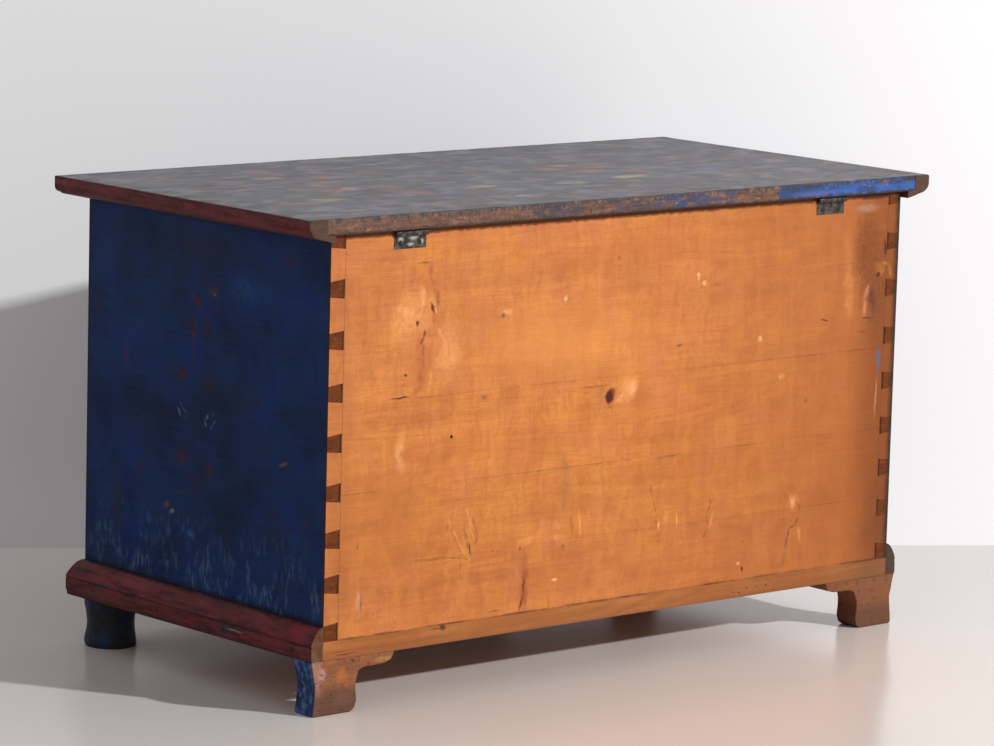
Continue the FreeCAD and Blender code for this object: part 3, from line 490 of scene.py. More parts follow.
# Cracks, ridges and streaks on the back: X and Z of each point of a line, half its width, colour and
# strength
BACK_STROKES = [
    # the knot and its long streak under the right hinge
    ((354, 589, 355, 574, 350, 560, 341, 540), 6, "#9A5632", 0.6),
    ((374, 557, 369, 532), 9, "#EAA66C", 0.6), ((405, 538, 385, 521), 9, "#E8A066", 0.45),
    ((341, 553, 342, 535), 5, "#864A28", 0.8), ((353, 540, 348, 523), 4, "#54280F", 0.95),
    ((356, 544, 346, 534, 343, 523), 1.3, "#E0A87A", 0.8), ((349, 522, 347, 511), 5, "#A85C38", 0.8),
    ((345, 508, 330, 489), 4, "#EAA068", 0.5), ((362, 502, 365, 494, 370, 484), 3.4, "#7A3A18", 0.95),
    ((365, 484, 365, 466, 362, 450), 5, "#9C4E34", 0.85),
    ((364, 454, 372, 433, 381, 415), 9, "#A85830", 0.75), ((355, 482, 355, 459), 2.6, "#A07030", 0.6),
    ((351, 456, 353, 414), 6, "#DC9850", 0.55),
    # the ridges and streaks of the two lower boards
    ((287, 261, 278, 242, 274, 225, 269, 210), 1.6, "#DA9662", 0.8),
    ((272, 243, 267, 227, 263, 213, 265, 203), 4, "#985028", 0.75),
    ((288, 240, 286, 226, 281, 211, 274, 190), 4.5, "#845038", 0.7),
    ((277, 206, 273, 190), 2, "#502812", 0.95),
    ((315, 245, 308, 231, 295, 211, 284, 191), 2.2, "#D89660", 0.75),
    ((306, 222, 297, 207, 289, 192), 2, "#9C6636", 0.75), ((317, 240, 314, 221), 3, "#A8562E", 0.6),
    ((356, 190, 321, 191, 286, 188, 277, 183), 1.7, "#7E4620", 0.8),
    ((292, 182, 291, 170, 289, 154), 2, "#94541F", 0.75),
    ((268, 193, 236, 191, 195, 185), 1.1, "#A25C2C", 0.6),
    ((112, 310, 109, 281, 108, 228), 12, "#9C683C", 0.75), ((96, 227, 91, 199), 3.6, "#984E22", 0.8),
    ((81, 235, 77, 193), 3.6, "#E69A62", 0.7), ((177, 174, 177, 159), 7, "#A85C3C", 0.7),
    ((176, 160, 175, 138, 177, 101), 8, "#8E4E28", 0.85),
    ((177, 149, 179, 126, 184, 103), 3.4, "#6E300E", 0.95), ((133, 119, 130, 98), 1.6, "#8E4A20", 0.8),
    ((119, 100, 58, 97, 54, 106), 1.4, "#7E4018", 0.8),
    ((-49, 258, -57, 233, -64, 212, -64, 189), 2.6, "#945024", 0.85),
    ((-69, 202, -69, 187), 2.8, "#F0A86C", 0.75),
    ((-164, 227, -167, 213, -160, 203, -163, 180, -153, 167), 2.4, "#8C4C24", 0.85),
    ((-173, 206, -167, 180), 3, "#E89C64", 0.6), ((-103, 211, -104, 186), 2.4, "#EAA062", 0.6),
    ((-345, 251, -339, 214), 9, "#B0602F", 0.5), ((-314, 221, -314, 202), 2, "#8E4E26", 0.75),
    ((-325, 214, -330, 191), 5, "#E6A06A", 0.65), ((-335, 205, -345, 186), 3.6, "#94481F", 0.75),
    ((-303, 179, -317, 178), 2.4, "#7C4420", 0.85),
    ((-340, 177, -334, 168, -324, 164, -321, 151, -318, 137), 2.6, "#743C1E", 0.9),
    ((-319, 151, -316, 131, -313, 106), 5, "#7E5644", 0.75), ((-340, 166, -347, 141), 4, "#DA925C", 0.6),
    # the stained corner at the far end
    ((-460, 595, -464, 559, -469, 522), 17, "#85481F", 0.75), ((-495, 572, -498, 545), 4, "#4A2410", 0.95),
    ((-410, 540, -454, 540, -465, 535), 3, "#8A5226", 0.7), ((-366, 537, -413, 540), 1.6, "#985A30", 0.6),
    ((-451, 510, -450, 468), 4.5, "#7E4424", 0.8), ((-467, 508, -459, 487, -459, 460), 5, "#BE7E5C", 0.8),
    ((-471, 504, -477, 462), 8, "#5E3028", 0.8), ((-493, 516, -499, 492, -486, 490), 3, "#6A3616", 0.85),
    ((-490, 536, -506, 535, -510, 515), 4, "#B8783E", 0.65), ((-454, 459, -474, 458), 2.2, "#5A2C12", 0.9),
    ((-445, 439, -467, 439), 1.8, "#7A401C", 0.85), ((-493, 442, -499, 414), 6, "#7E4820", 0.8),
    ((-422, 540, -426, 500, -432, 450), 10, "#CC8648", 0.5), ((-490, 375, -487, 304), 2.6, "#B88666", 0.75),
    ((-494, 370, -493, 303), 2.4, "#6E452C", 0.7), ((-507, 453, -508, 401), 7, "#85502A", 0.75),
]
BACK_TONES = {
    1: ("#BC703A", "#C67A42", "#9A542A"),
    2: ("#C07436", "#CA803E", "#A05828"),
    3: ("#C4763A", "#D08242", "#A45C2A"),
    4: ("#C27640", "#D28446", "#A86036"),
}
# Knots round which the rings bend: X, Z, half width, half height and number of rings
KNOTS = [
    (30, 388, 60, 34, 3.0), (358, 540, 46, 70, 4.0), (256, 404, 26, 20, 2.0), (226, 512, 22, 20, 2.0),
    (114, 527, 20, 18, 1.5), (-136, 536, 34, 26, 2.5), (-290, 386, 24, 20, 2.0), (-348, 347, 20, 18, 1.5),
    (-165, 205, 26, 44, 2.5), (-65, 198, 24, 46, 2.0), (-322, 190, 34, 80, 3.0), (-488, 508, 44, 60, 3.5),
    (19, 577, 16, 14, 1.5), (285, 220, 40, 60, 2.0), (-378, 461, 30, 12, 1.2), (186, 191, 16, 16, 1.2),
]


def strokes(table):
    """Ovals in a row that follow each line of a table."""
    for points, half, colour, strength in table:
        ends = list(zip(points[::2], points[1::2]))
        for (x0, z0), (x1, z1) in zip(ends, ends[1:]):
            run = math.hypot(x1 - x0, z1 - z0)
            turn = math.degrees(math.atan2(x1 - x0, z1 - z0))
            yield (x0 + x1) / 2, (z0 + z1) / 2, half, (run + half) * 0.6, turn, colour, strength, 0.85


def back_board(number):
    """Pine back, planed by hand and finished with an old clear varnish gone honey orange."""
    low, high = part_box("back_plank_%d" % number)
    material, where = new_material("varnished_pine_%d" % number)
    loose = shaken(where, 9, 1.8)
    looser = shaken(shaken(where, 34, 9), 11, 3)
    wipe = cloud(looser, (24, 24, 200), 0.5, 0.44, 0.68, 0.34)
    band = cloud(looser, (8, 8, 80), 4.5, 0.46, 0.64, 0.34)
    fine = cloud(where, (26, 26, 2.4), 14.5, 0.5, 0.66, 0.3)
    glow = cloud(looser, (70, 70, 50), 6.5, 0.46, 0.66, 0.5)
    haze = cloud(looser, (46, 46, 30), 1.5, 0.48, 0.68, 0.4)
    pinkish = cloud(looser, (60, 60, 60), 8.5, 0.5, 0.68, 0.4)
    speck = cloud(where, (5, 5, 4), number + 2.5, 0.7, 0.75, 0.5, 2.0)
    dent = cloud(where, (13, 13, 9), number + 9.5, 0.66, 0.76, 0.5, 4.0)
    # Painted shade: the back darkens towards the far end and its far corner, where the lamp's light falls
    # off.
    far_end_painted_shade = times(beyond(looser, 0, -240 * MM, -1, 520), 0.78)
    corner = times(beyond(looser, 0, -465 * MM, -1, 90), 0.72)
    tones = [(glow, "#D2883C"), (haze, "#9E582E"), (pinkish, "#CA7A52"), (wipe, "#D48C4A"),
             (band, "#A65E32"), (far_end_painted_shade, "#98552A"), (corner, "#74401E"), (fine, "#A65E32"),
             (speck, "#7C4420"), (dent, "#8E5430")]
    mottle = total([(cloud(looser, (5, 5, 8), 12.5, 0.36, 0.62, 1.0, 4.0), 0.75), (0.35, 1.0)])

    def on_board(z, tall):
        return low.z - tall * MM < z * MM < high.z + tall * MM

    def marks():
        """Masks and colours, each made only when it is laid: a shader can't hold them all at once."""
        yield from tones
        for mark in BACK_MARKS + list(strokes(BACK_STROKES)):
            wide, tall, strength = mark[2], mark[3], mark[6]
            if on_board(mark[1], tall):
                broken_up = mottle if strength < 0.9 and max(wide, tall) < 100 else None
                yield from spots(looser if min(wide, tall) > 8 else loose, [mark], broken_up)
        yield times(beyond(loose, 0, -WORN_CORNER, -1, 8), 0.9), "#33281F"
        if number == 1:
            yield broken_seam(where, low.z + 1.5 * MM, -1, 2.4), "#5A3016"
        if number == 4:
            # Painted shadow of the lid's overhang: a dark band along the top of the highest board.
            yield times(beyond(loose, 2, high.z - 8 * MM, 1, 3), 0.88), "#4C2610"
        across = add("Math", {0: add("SeparateXYZ", {0: where})}, operation="ABSOLUTE")
        yield line(across, INNER_END - 0.7 * MM, 0.8, 0.2, 0.6), "#5C3A24"
        seam = beyond(loose, 2, high.z - 1.2 * MM, 1, 1.6)
        yield times(seam, cloud(where, (120, 120, 400), number + 3.5, 0.46, 0.64, 0.5, 2.0)), "#6E3E20"

    knots = [(oval(loose, (x, z), (wide, tall), 0.0, 1.0, 1.0), count)
             for x, z, wide, tall, count in KNOTS if on_board(z, tall)]
    wood = pine(where, 0, BACK_TONES[number], number * 3.1, marks(), knots=knots)
    inside = raw_pine(where, 0, number * 2.3)
    paint = blue_paint(where, 1.3, wall_wear(where))
    wood = over(beyond(where, 1, BACK_INNER + 1 * MM, -1, 1), wood, inside)
    return seal(material, over(both_ends(where, HALF - 0.3 * MM), wood, paint), shine=0.12)


FLOWER_SPREAD = 290 * MM  # the front's two bunches, each from its middle
# Folk flowers in the old manner, on a wall's own middle: place across and height in millimetres,
# half sizes, turn, colour and strength
FLOWERS = [
    (34, 535, 17, 11, 0, "#4A2E22", 0.8), (37, 531, 5, 3.5, 0, "#7E5836", 0.8),
    (-26, 534, 6, 2, 0, "#3A4A68", 0.5), (-6, 518, 9, 25, -60, "#4E1A26", 0.85),
    (36, 507, 18, 9, 0, "#2C1C3E", 0.6), (-11, 479, 13, 32, 2, "#3E1C28", 0.85),
    (-9, 467, 3, 18, 0, "#5E3A34", 0.7), (22, 475, 15, 29, -3, "#281F2A", 0.85),
    (19, 487, 7, 12, 0, "#3A2224", 0.7), (-7, 435, 5, 15, 0, "#22342F", 0.6),
    (-34, 415, 20, 16, 0, "#381C24", 0.85), (-36, 411, 10, 7, 0, "#46261C", 0.7),
    (30, 405, 20, 14, 0, "#2E1F28", 0.85), (-39, 361, 2.8, 11, -42, "#6A7C90", 0.75),
    (-27, 364, 2.6, 12, -50, "#5A6C80", 0.65), (-28, 355, 5, 3, -40, "#66788A", 0.6),
    (-36, 372, 2, 7, -30, "#4C5C70", 0.6), (24, 363, 3.2, 9, 34, "#7A8C9C", 0.75),
    (20, 353, 3.2, 8, -14, "#7A8C9C", 0.75), (40, 357, 3.2, 6, 24, "#64768A", 0.65),
    (34, 350, 2.6, 6, 32, "#64768A", 0.6), (36, 368, 2, 7, -20, "#4C5C70", 0.6),
    (-34, 299, 20, 21, 0, "#3C1E2A", 0.85), (-31, 300, 9, 11, 0, "#54242C", 0.7),
    (31, 291, 16, 17, 0, "#3A2022", 0.85), (30, 289, 7, 9, 0, "#4C281C", 0.7),
    (-9, 257, 5, 14, 0, "#1C3030", 0.5),
]
END_WEAR = [
    (-110, 345, 80, 70, 0, "#1C1F2E", 0.55), (70, 392, 70, 30, 0, "#1B2130", 0.5),
    (0, 330, 50, 90, 0, "#18202E", 0.45), (120, 330, 110, 90, 0, "#161F36", 0.4),
    (-30, 590, 200, 40, 0, "#16223E", 0.5), (192, 323, 14, 4, -20, "#7A6038", 0.6),
    (-66, 228, 11, 7, -30, "#75543A", 0.6), (-52, 222, 8, 5, -20, "#93907C", 0.55),
    (-162, 430, 5, 34, 0, "#4A2A30", 0.6), (-105, 205, 10, 12, 0, "#2E5C94", 0.5),
    (-10, 198, 10, 12, 0, "#2F66A8", 0.6), (-180, 215, 22, 60, 0, "#2A2A36", 0.6),
    (240, 240, 6, 50, 0, "#33281F", 0.6), (262, 150, 5, 24, 0, "#8C7040", 0.5),
    (110, 545, 60, 30, 0, "#254A80", 0.4), (30, 590, 120, 26, 0, "#2C2430", 0.25),
]


def flat_place(where, axis, middle=0.0, mirrored=False):
    """Places on a wall as across and up, so that one set of flowers fits every wall."""
    across = add("SeparateXYZ", {0: where}, axis)
    height = across.node.outputs[2]
    if mirrored:
        across = add("Math", {0: across}, operation="ABSOLUTE")
    across = add("Math", {0: across, 1: middle}, operation="SUBTRACT")
    return add("CombineXYZ", {0: across, 2: height})


def painted_wall(name, axis, sign, seed):
    """Painted boards of the ends and the front: blue outside, raw inside, and dark end grain where
    the pins of the dovetails come through to the back."""
    material, where = new_material(name)
    loose = shaken(flat_place(where, axis, FLOWER_SPREAD if axis == 0 else 0.0, axis == 0), 8, 1.8)
    faded = cloud(where, (9, 9, 11), seed + 20, 0.36, 0.5, 1.0, 5.0)
    rows = [(*row, 0.9) for row in FLOWERS] + [(*row, 0.8) for row in END_WEAR if axis == 1]
    flowers = list(spots(loose, rows, faded))
    # Painted shade under the lid's overhang, along the top of the wall.
    painted_shade_under_lid = times(beyond(loose, 2, 633 * MM, 1, 20), 0.75)
    paint = blue_paint(where, seed, flowers + wall_wear(where) + [(painted_shade_under_lid, "#0E1528")])
    wood = raw_pine(where, axis, seed + 5)
    if axis == 0:
        finish = over(beyond(where, 1, FRONT + 0.5 * MM, -1), wood, paint)
        tails = blue_paint(where, 1.3, wall_wear(where))
        return seal(material, over(both_ends(where, HALF - 0.3 * MM), finish, tails), shine=0.1)
    arris = times(beyond(shaken(where, 14, 3), 0, -WORN_CORNER, -1, 8), 0.9)
    shoulder = times(beyond(shaken(where, 12, 1.5), 0, sign * (INNER_END + 2.8 * MM), -sign, 2.4),
                     cloud(where, (30, 30, 26), seed + 15, 0.3, 0.46, 0.85))
    sawn = tinted(end_grain(where, seed + 9), [(shoulder, "#2A1308"), (arris, "#33281F")])
    finish = over(beyond(where, 1, BACK - 0.5 * MM), wood, sawn)
    finish = over(beyond(where, 1, FRONT + 0.5 * MM, -1), finish, paint)
    return seal(material, over(beyond(where, 0, sign * (HALF - 0.5 * MM), sign), finish, paint), shine=0.1)


def bottom_board_finish(number):
    """Bottom boards, raw below and inside; the last one's edge shows under the back, varnished."""
    material, where = new_material("bottom_pine_%d" % number)
    wood = raw_pine(where, 0, number * 4.1, ("#8E5428", "#9E6234", "#6A3C1E"))
    loose = shaken(where, 6, 1.2)
    pits = [(x, 82 + 4 * math.sin(x), 2, 2, 0, "#3A1C12", 0.9, 0.5)
            for x in (-217, -229, -243, -262, -281, -297)]
    dark_end = beyond(shaken(where, 30, 12), 0, -455 * MM, -1, 60)
    marks = [
        *spots(loose, [(319, 95.5, 7, 4.5, 0, "#2A120C", 1.0, 0.5),
                       (328, 95.5, 22, 2, 0, "#6A3A24", 0.7, 0.8), *pits]),
        (cloud(where, (44, 44, 10), 8.0, 0.5, 0.66, 0.6), "#8C5430"),
        (beyond(loose, 2, 77 * MM, -1, 5), "#8A5432"), (times(dark_end, 0.7), "#6E4A30"),
        (broken_seam(where, 98.8 * MM, 1, 2.0), "#4A2814"),
        *spots(loose, [
            (486, 80, 26, 1.4, 2, "#4E2A18", 0.8, 0.7), (498, 84, 20, 1.2, 2, "#6A3C22", 0.7, 0.7),
            (-330, 88, 170, 60, 0, "#74462A", 0.4, 1.0), (-350, 88, 60, 8, 0, "#A8542C", 0.5, 1.0)]),
    ]
    edge = pine(where, 0, ("#A0602F", "#AC6C3A", "#804822"), 6.6, marks)
    return seal(material, over(beyond(where, 1, BACK - 0.5 * MM), wood, edge), shine=0.15)


def plinth_finish():
    """Dark red moulding; its sawn ends at the back are brown."""
    material, where = new_material("red_moulding_paint")
    loose = shaken(flat_place(where, 1), 10, 3)
    groove = times(line(add("SeparateXYZ", {0: loose}, 2), 94.3 * MM, 2.0, 0.5),
                   cloud(where, (60, 60, 60), 5.5, 0.36, 0.56, 0.75))
    paint = tinted(red_paint(where, 2.4), [
        (cloud(where, (60, 60, 14), 12.5, 0.46, 0.62, 0.55), "#7A2A32"),
        (cloud(where, (22, 22, 7), 14.5, 0.6, 0.7, 0.6, 5.0), "#4A4450"), (groove, "#1A1519"),
        # painted shade along the top of the moulding, in the crease against the wall
        (times(beyond(loose, 2, 118.4 * MM, 1, 2.4), 0.8), "#1C1518"),
        (times(beyond(loose, 2, 77 * MM, -1, 4), 0.5), "#2A1A1A"),
        *spots(loose, [
            (-182, 97, 28, 3, 0, "#2B2A55", 0.8, 0.7), (97, 87, 24, 8, 0, "#232B30", 0.8, 0.6),
            (118, 88, 26, 1.8, 2, "#8E8A88", 0.7, 0.7), (250, 108, 28, 14, 0, "#8A2038", 0.75, 0.8),
            (-120, 110, 70, 12, 0, "#86303A", 0.45, 0.9), (-190, 82, 90, 8, 0, "#5A3426", 0.55, 0.9)]),
    ])
    far_side = times(beyond(where, 0, -INNER_END, -1), 0.85)
    dusty = cloud(where, (8, 8, 16), 6.0, 0.44, 0.6, 0.7)
    sawn = tinted(end_grain(where, 4.0, "#563A20"), [(dusty, "#6A4C3A"), (far_side, "#3E302A")])
    return seal(material, over(beyond(where, 1, BACK - 0.5 * MM), paint, sawn), 0.7, shine=0.2)


def lid_edge(where, loose):
    """The lid's back edge: pine gone bare and dirty, with paint left in places."""
    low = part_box("lid_board_3")[0]
    left = cloud(where, (22, 22, 7), 8.0, 0.42, 0.5, 1.0, 5.0)
    whole = beyond(loose, 0, -268 * MM, -1, 9)
    bright = times(beyond(loose, 0, -360 * MM, -1, 60), cloud(where, (40, 40, 10), 21.0, 0.4, 0.54))
    sooty = times(beyond(loose, 2, 656 * MM, 1, 4), cloud(where, (46, 46, 30), 23.0, 0.4, 0.52))
    upper = times(beyond(loose, 2, 655 * MM, 1, 7), cloud(where, (3.5, 3.5, 12), 15.0, 0.5, 0.58, 0.9, 5.0))
    fleck = times(cloud(where, (7, 7, 5), 17.0, 0.6, 0.7, 0.8, 5.0), beyond(where, 0, -300 * MM, -1, 20))
    ochre = cloud(where, (9, 9, 6), 11.0, 0.6, 0.68, 0.7, 5.0)
    edge = pine(where, 0, ("#714A35", "#805640", "#42291C"), 9.0, [
        (cloud(where, (60, 60, 9), 6.0, 0.48, 0.62, 0.6), "#8E6450"),
        (cloud(where, (20, 20, 6), 2.0, 0.42, 0.58, 0.85), "#54362A"), (ochre, "#9A6C3A"),
        (cloud(where, (4, 4, 7), 4.0, 0.56, 0.64, 0.85, 5.0), "#2A1C18"),
        *spots(loose, [(x, 651, wide, 15, 0, colour, strength, 0.35) for x, wide, colour, strength in (
            (-88, 62, "#263660", 0.95), (-165, 26, "#2C3A64", 0.6),
            (150, 60, "#2A2E40", 0.7), (10, 60, "#2C2E40", 0.6))], left),
        (whole, "#1A3868"), (bright, "#245094"),
        *spots(loose, [(-335, 646, 60, 7, 0, "#4E5C94", 0.6, 0.8),
                       (-300, 655, 36, 6, 0, "#1B3050", 0.6, 0.8)]),
        (times(whole, sooty), "#1A2438"),
        *spots(loose, [(-478, 656, 16, 3, 0, "#7A4A34", 0.7, 0.8),
                       (-446, 652, 7, 3, 0, "#6A4438", 0.6, 0.8)]),
        (fleck, "#5A78B4"), (upper, "#262229"),
        # painted shade: the lowest few millimetres of the back edge are darkened like the shadow under the
        # lid
        (times(beyond(loose, 2, low.z + 3.2 * MM, -1, 3), 0.9), "#2C190F"),
    ], gloss=0.55)
    dust = coats("#2C2726", [(ochre, "#5E4834"), (cloud(where, (30, 30, 30), 25.0, 0.45, 0.6), "#3E3C44")])
    return edge, (dust, edge[1], edge[2])


def lid_board_finish(number):
    """Lid boards: painted top, raw below. The last one's back edge has a finish of its own."""
    material, where = new_material("painted_lid_pine_%d" % number)
    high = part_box("lid_board_3")[1]
    top = lid_paint(where, 3.0)
    under = raw_pine(where, 0, 6.0 + number)
    finish = over(beyond(shaken(where, 9, 1.0), 2, high.z - 1.1 * MM, 1, 1.6), under, top)
    if number == 3:
        edge, dusty_edge = lid_edge(where, shaken(where, 9, 2.6))
        finish = over(beyond(where, 1, high.y - 2.2 * MM, 1, 1), finish, edge)
        rim = times(beyond(where, 1, high.y - 5 * MM, 1, 4), beyond(where, 2, high.z - 3.0 * MM, 1, 2))
        finish = over(times(rim, cloud(where, (14, 14, 14), 5.0, 0.42, 0.56)), finish, dusty_edge)
    return seal(material, finish, 0.5, shine=0.35)


def lid_strip_finish():
    """Nosing strips: dark red, with the lid's paint on top and brown end grain at the back."""
    material, where = new_material("red_nosing_paint")
    low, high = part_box("lid_strip_right")
    dim = cloud(where, (90, 90, 14), 3.3, 0.42, 0.64, 0.5)
    worn = times(beyond(shaken(where, 26, 4), 2, low.z + 11 * MM, -1, 8), 0.65)
    paint = tinted(red_paint(where, 5.2), [(dim, "#5C1820"), (worn, "#4E3230")])
    facing = add("SeparateXYZ", {0: add("TexCoord", {}, "Normal", where.id_data)}, 2)
    upward = add("MapRange", {"Value": facing, "From Min": 0.7, "From Max": 0.9})
    top = times(upward, beyond(shaken(where, 8, 1.2), 2, high.z - 2 * MM, 1, 1.4))
    finish = over(top, paint, lid_paint(where, 3.0))
    dusty = cloud(where, (10, 10, 8), 6.0, 0.4, 0.6, 0.8)
    sawn = tinted(end_grain(where, 2.0, "#36261C"), [(dusty, "#42392F")])
    return seal(material, over(beyond(where, 1, high.y - 2 * MM, 1, 1), finish, sawn), 0.6, shine=0.25)


def turned_foot_finish():
    """Turned feet: blue paint worn black and brown by boots and brooms."""
    material, where = new_material("worn_foot_paint")
    grime = cloud(where, (30, 30, 26), 1.0, 0.36, 0.54, 0.95)
    brown = cloud(where, (12, 12, 8), 3.0, 0.56, 0.66, 0.8)
    glint = cloud(where, (6, 6, 9), 5.0, 0.66, 0.72, 0.6)
    paint = blue_paint(where, 7.7, [(grime, "#1E2022"), (brown, "#2E2522"), (glint, "#33507E")])
    return seal(material, paint, 0.8, shine=0.25)


def slab_foot_finish():
    """Sawn feet at the back: painted on the side, bare and dirty behind."""
    material, where = new_material("slab_foot_finish")
    rubbed = cloud(where, (7, 8, 12), 2.0, 0.46, 0.6, 0.85, 5.0)
    grime = cloud(where, (16, 16, 16), 4.0, 0.52, 0.64, 0.8)
    bright = cloud(where, (20, 20, 30), 9.0, 0.5, 0.64, 0.6)
    paint = blue_paint(where, 9.1, [(bright, "#1A3C8A"), (rubbed, "#4C6A9A"), (grime, "#171A24")])
    loose = shaken(where, 10, 4)
    dirt = beyond(loose, 2, 32 * MM, -1, 18)
    pink = cloud(where, (14, 14, 26), 6.0, 0.44, 0.58, 0.8)
    warm = cloud(where, (30, 30, 22), 7.0, 0.48, 0.6, 0.8)
    smudge = cloud(where, (8, 8, 14), 10.0, 0.54, 0.66, 0.7, 5.0)
    gouge = cloud(where, (9, 9, 4), 8.0, 0.6, 0.68, 0.8)
    near_edge = times(beyond(loose, 0, HALF + 3 * MM, 1, 6), 0.6)
    far_side = times(beyond(where, 0, 0.0, -1), 0.45)
    bare = pine(where, 0, ("#845230", "#966038", "#5E3822"), 12.0, [
        (warm, "#9A5E2C"), (pink, "#86503A"), (smudge, "#5C3E2C"), (near_edge, "#A0786A"),
        (times(dirt, 0.85), "#56392A"), (far_side, "#6A4028"),
        *spots(loose, [
            (525, 56, 9, 14, 0, "#B0897A", 0.75, 0.8), (493, 52, 13, 16, 0, "#A8642A", 0.8, 0.8),
            (490, 20, 30, 13, 0, "#6C4A3A", 0.7, 0.9), (420, 66, 22, 6, 0, "#A47A44", 0.7, 0.8)]),
        (gouge, "#38221A")], gloss=0.6)
    painted = times(both_ends(loose, HALF + 7 * MM, 2), beyond(where, 1, BACK - 1.2 * MM, -1, 1))
    return seal(material, over(painted, bare, paint), 0.7, shine=0.2)


def iron(name, tone, worn, bright_spots=()):
    """Hand-forged iron, dark with old scale and rust, rubbed bright on its high places."""
    material, where = new_material(name)
    loose = shaken(where, 6, 1.5)
    scale = cloud(where, (9, 9, 9), 1.0, 0.4, 0.62)
    rust = cloud(where, (14, 14, 14), 3.0, 0.52, 0.66, 0.7)
    rubbed = cloud(where, (11, 11, 11), 5.0, 0.6, 0.74, 0.5)
    colour = coats(tone, [(scale, "#211E1C"), (rust, "#3A2A22"), (rubbed, worn)])
    colour = coats(colour, spots(loose, [(*spot, 0, "#B4AEA6", 0.75, 0.9) for spot in bright_spots]))
    roughness = total([(scale, 0.12), (rust, 0.15), (rubbed, -0.15), (0.5, 1.0)])
    return seal(material, (colour, roughness, total([(scale, -1.0), (rust, 0.6)])), 0.5, 0.6)


def floor_finish(name, colour, gloss):
    material, where = new_material(name)
    drift = cloud(where, (900, 900, 900), 1.0, 0.35, 0.65, 0.5)
    soft = coats(colour, [(drift, "#E6E0DB")])
    return seal(material, (soft, total([(drift, 0.08), (gloss, 1.0)]), drift), 0.1, shine=0.8)


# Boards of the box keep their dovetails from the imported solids; their arrises are eased
def eased_board(node, name, width, finish):
    """A board with its sharp edges taken off, as a scraper and years of handling leave them."""
    board = bpy.data.objects.new(name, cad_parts[node].data.copy())
    board.data.name = name
    bpy.context.scene.collection.objects.link(board)
    bpy.context.view_layer.objects.active = board
    board.select_set(True)
    bpy.ops.object.mode_set(mode="EDIT")
    bpy.ops.mesh.select_all(action="SELECT")
    bpy.ops.mesh.remove_doubles(threshold=0.01 * MM)
    bpy.ops.mesh.dissolve_limited(angle_limit=math.radians(1))
    pick(board, "EDGE", lambda mid, edge: len(edge.link_faces) == 2 and edge.calc_length() > 6 * MM
         and edge.calc_face_angle(0) > math.radians(40))
    bpy.ops.mesh.bevel(offset=width, segments=2, affect="EDGES", clamp_overlap=True)
    bpy.ops.object.mode_set(mode="OBJECT")
    dress(board, "carcass", finish, [node], 20)


for number in (1, 2, 3, 4):
    eased_board("back_plank_%d" % number, "back_board_%d" % number, 0.3 * MM, back_board(number))
    eased_board("bottom_board_%d" % number, "floor_board_%d" % number, 0.8 * MM,
                bottom_board_finish(number))
end_finishes = {"right": painted_wall("blue_end_right", 1, 1, 1.3),
                "left": painted_wall("blue_end_left", 1, -1, 1.3)}
front_finish = painted_wall("blue_front", 0, 1, 1.3)
for number in (1, 2, 3):
    eased_board("front_plank_%d" % number, "front_board_%d" % number, 0.3 * MM, front_finish)
    for side, finish in end_finishes.items():
        eased_board("%s_end_plank_%d" % (side, number), "%s_end_board_%d" % (side, number), 0.3 * MM,
                    finish)


def lid_board(number):
    """A board of the lid. The last one's back edge is rounder, and dented by years of use."""
    low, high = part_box("lid_board_%d" % number)
    board = block("lid_plank_%d" % number, low, high)
    split_along(board, 0, 150)
    last = number == 3
    ease(board, 2.6 if last else 0.7, 3 if last else 2, lambda mid, edge: at(mid, {1: high.y, 2: high.z}))
    if last:
        ease(board, 1.5, 2, lambda mid, edge: at(mid, {1: high.y, 2: low.z}))
    close()

    def push(place):
        if not last or place.y < high.y - 4 * MM:
            return Vector()
        dent = 2.6 * bumps(place, 0.016, 3.0, 0.15) + 1.6 * bumps(place, 0.006, 8.0, 0.3)
        top = 1.0 if place.z > high.z - 4 * MM else 0.25
        sway = 0.35 * (rough(place, 0.05, 5.0) - 1)
        return Vector((0, (-dent * top + sway) * MM, -dent * 0.6 * MM * (top > 0.5)))

    wear(board, push)
    dress(board, "lid", lid_board_finish(number), ["lid_board_%d" % number])


for number in (1, 2, 3):
    lid_board(number)

nosing_finish = lid_strip_finish()


def nosing_wear(outer_axis, sign, outer):
    """Small dents along a strip's rounded outer edges."""
    def push(place):
        reach = sign * (outer - place[outer_axis])
        if reach > 12 * MM:
            return Vector()
        dent = 1.6 * bumps(place, 0.02, 2.0, 0.2) + 1.2 * bumps(place, 0.007, 6.0, 0.35)
        depth = dent * (1 - reach / (12 * MM)) * MM
        moved = only(outer_axis, -sign * depth)
        moved.z = -depth * 0.5 if place.z > RIM + 18 * MM else depth * 0.3
        return moved
    return push


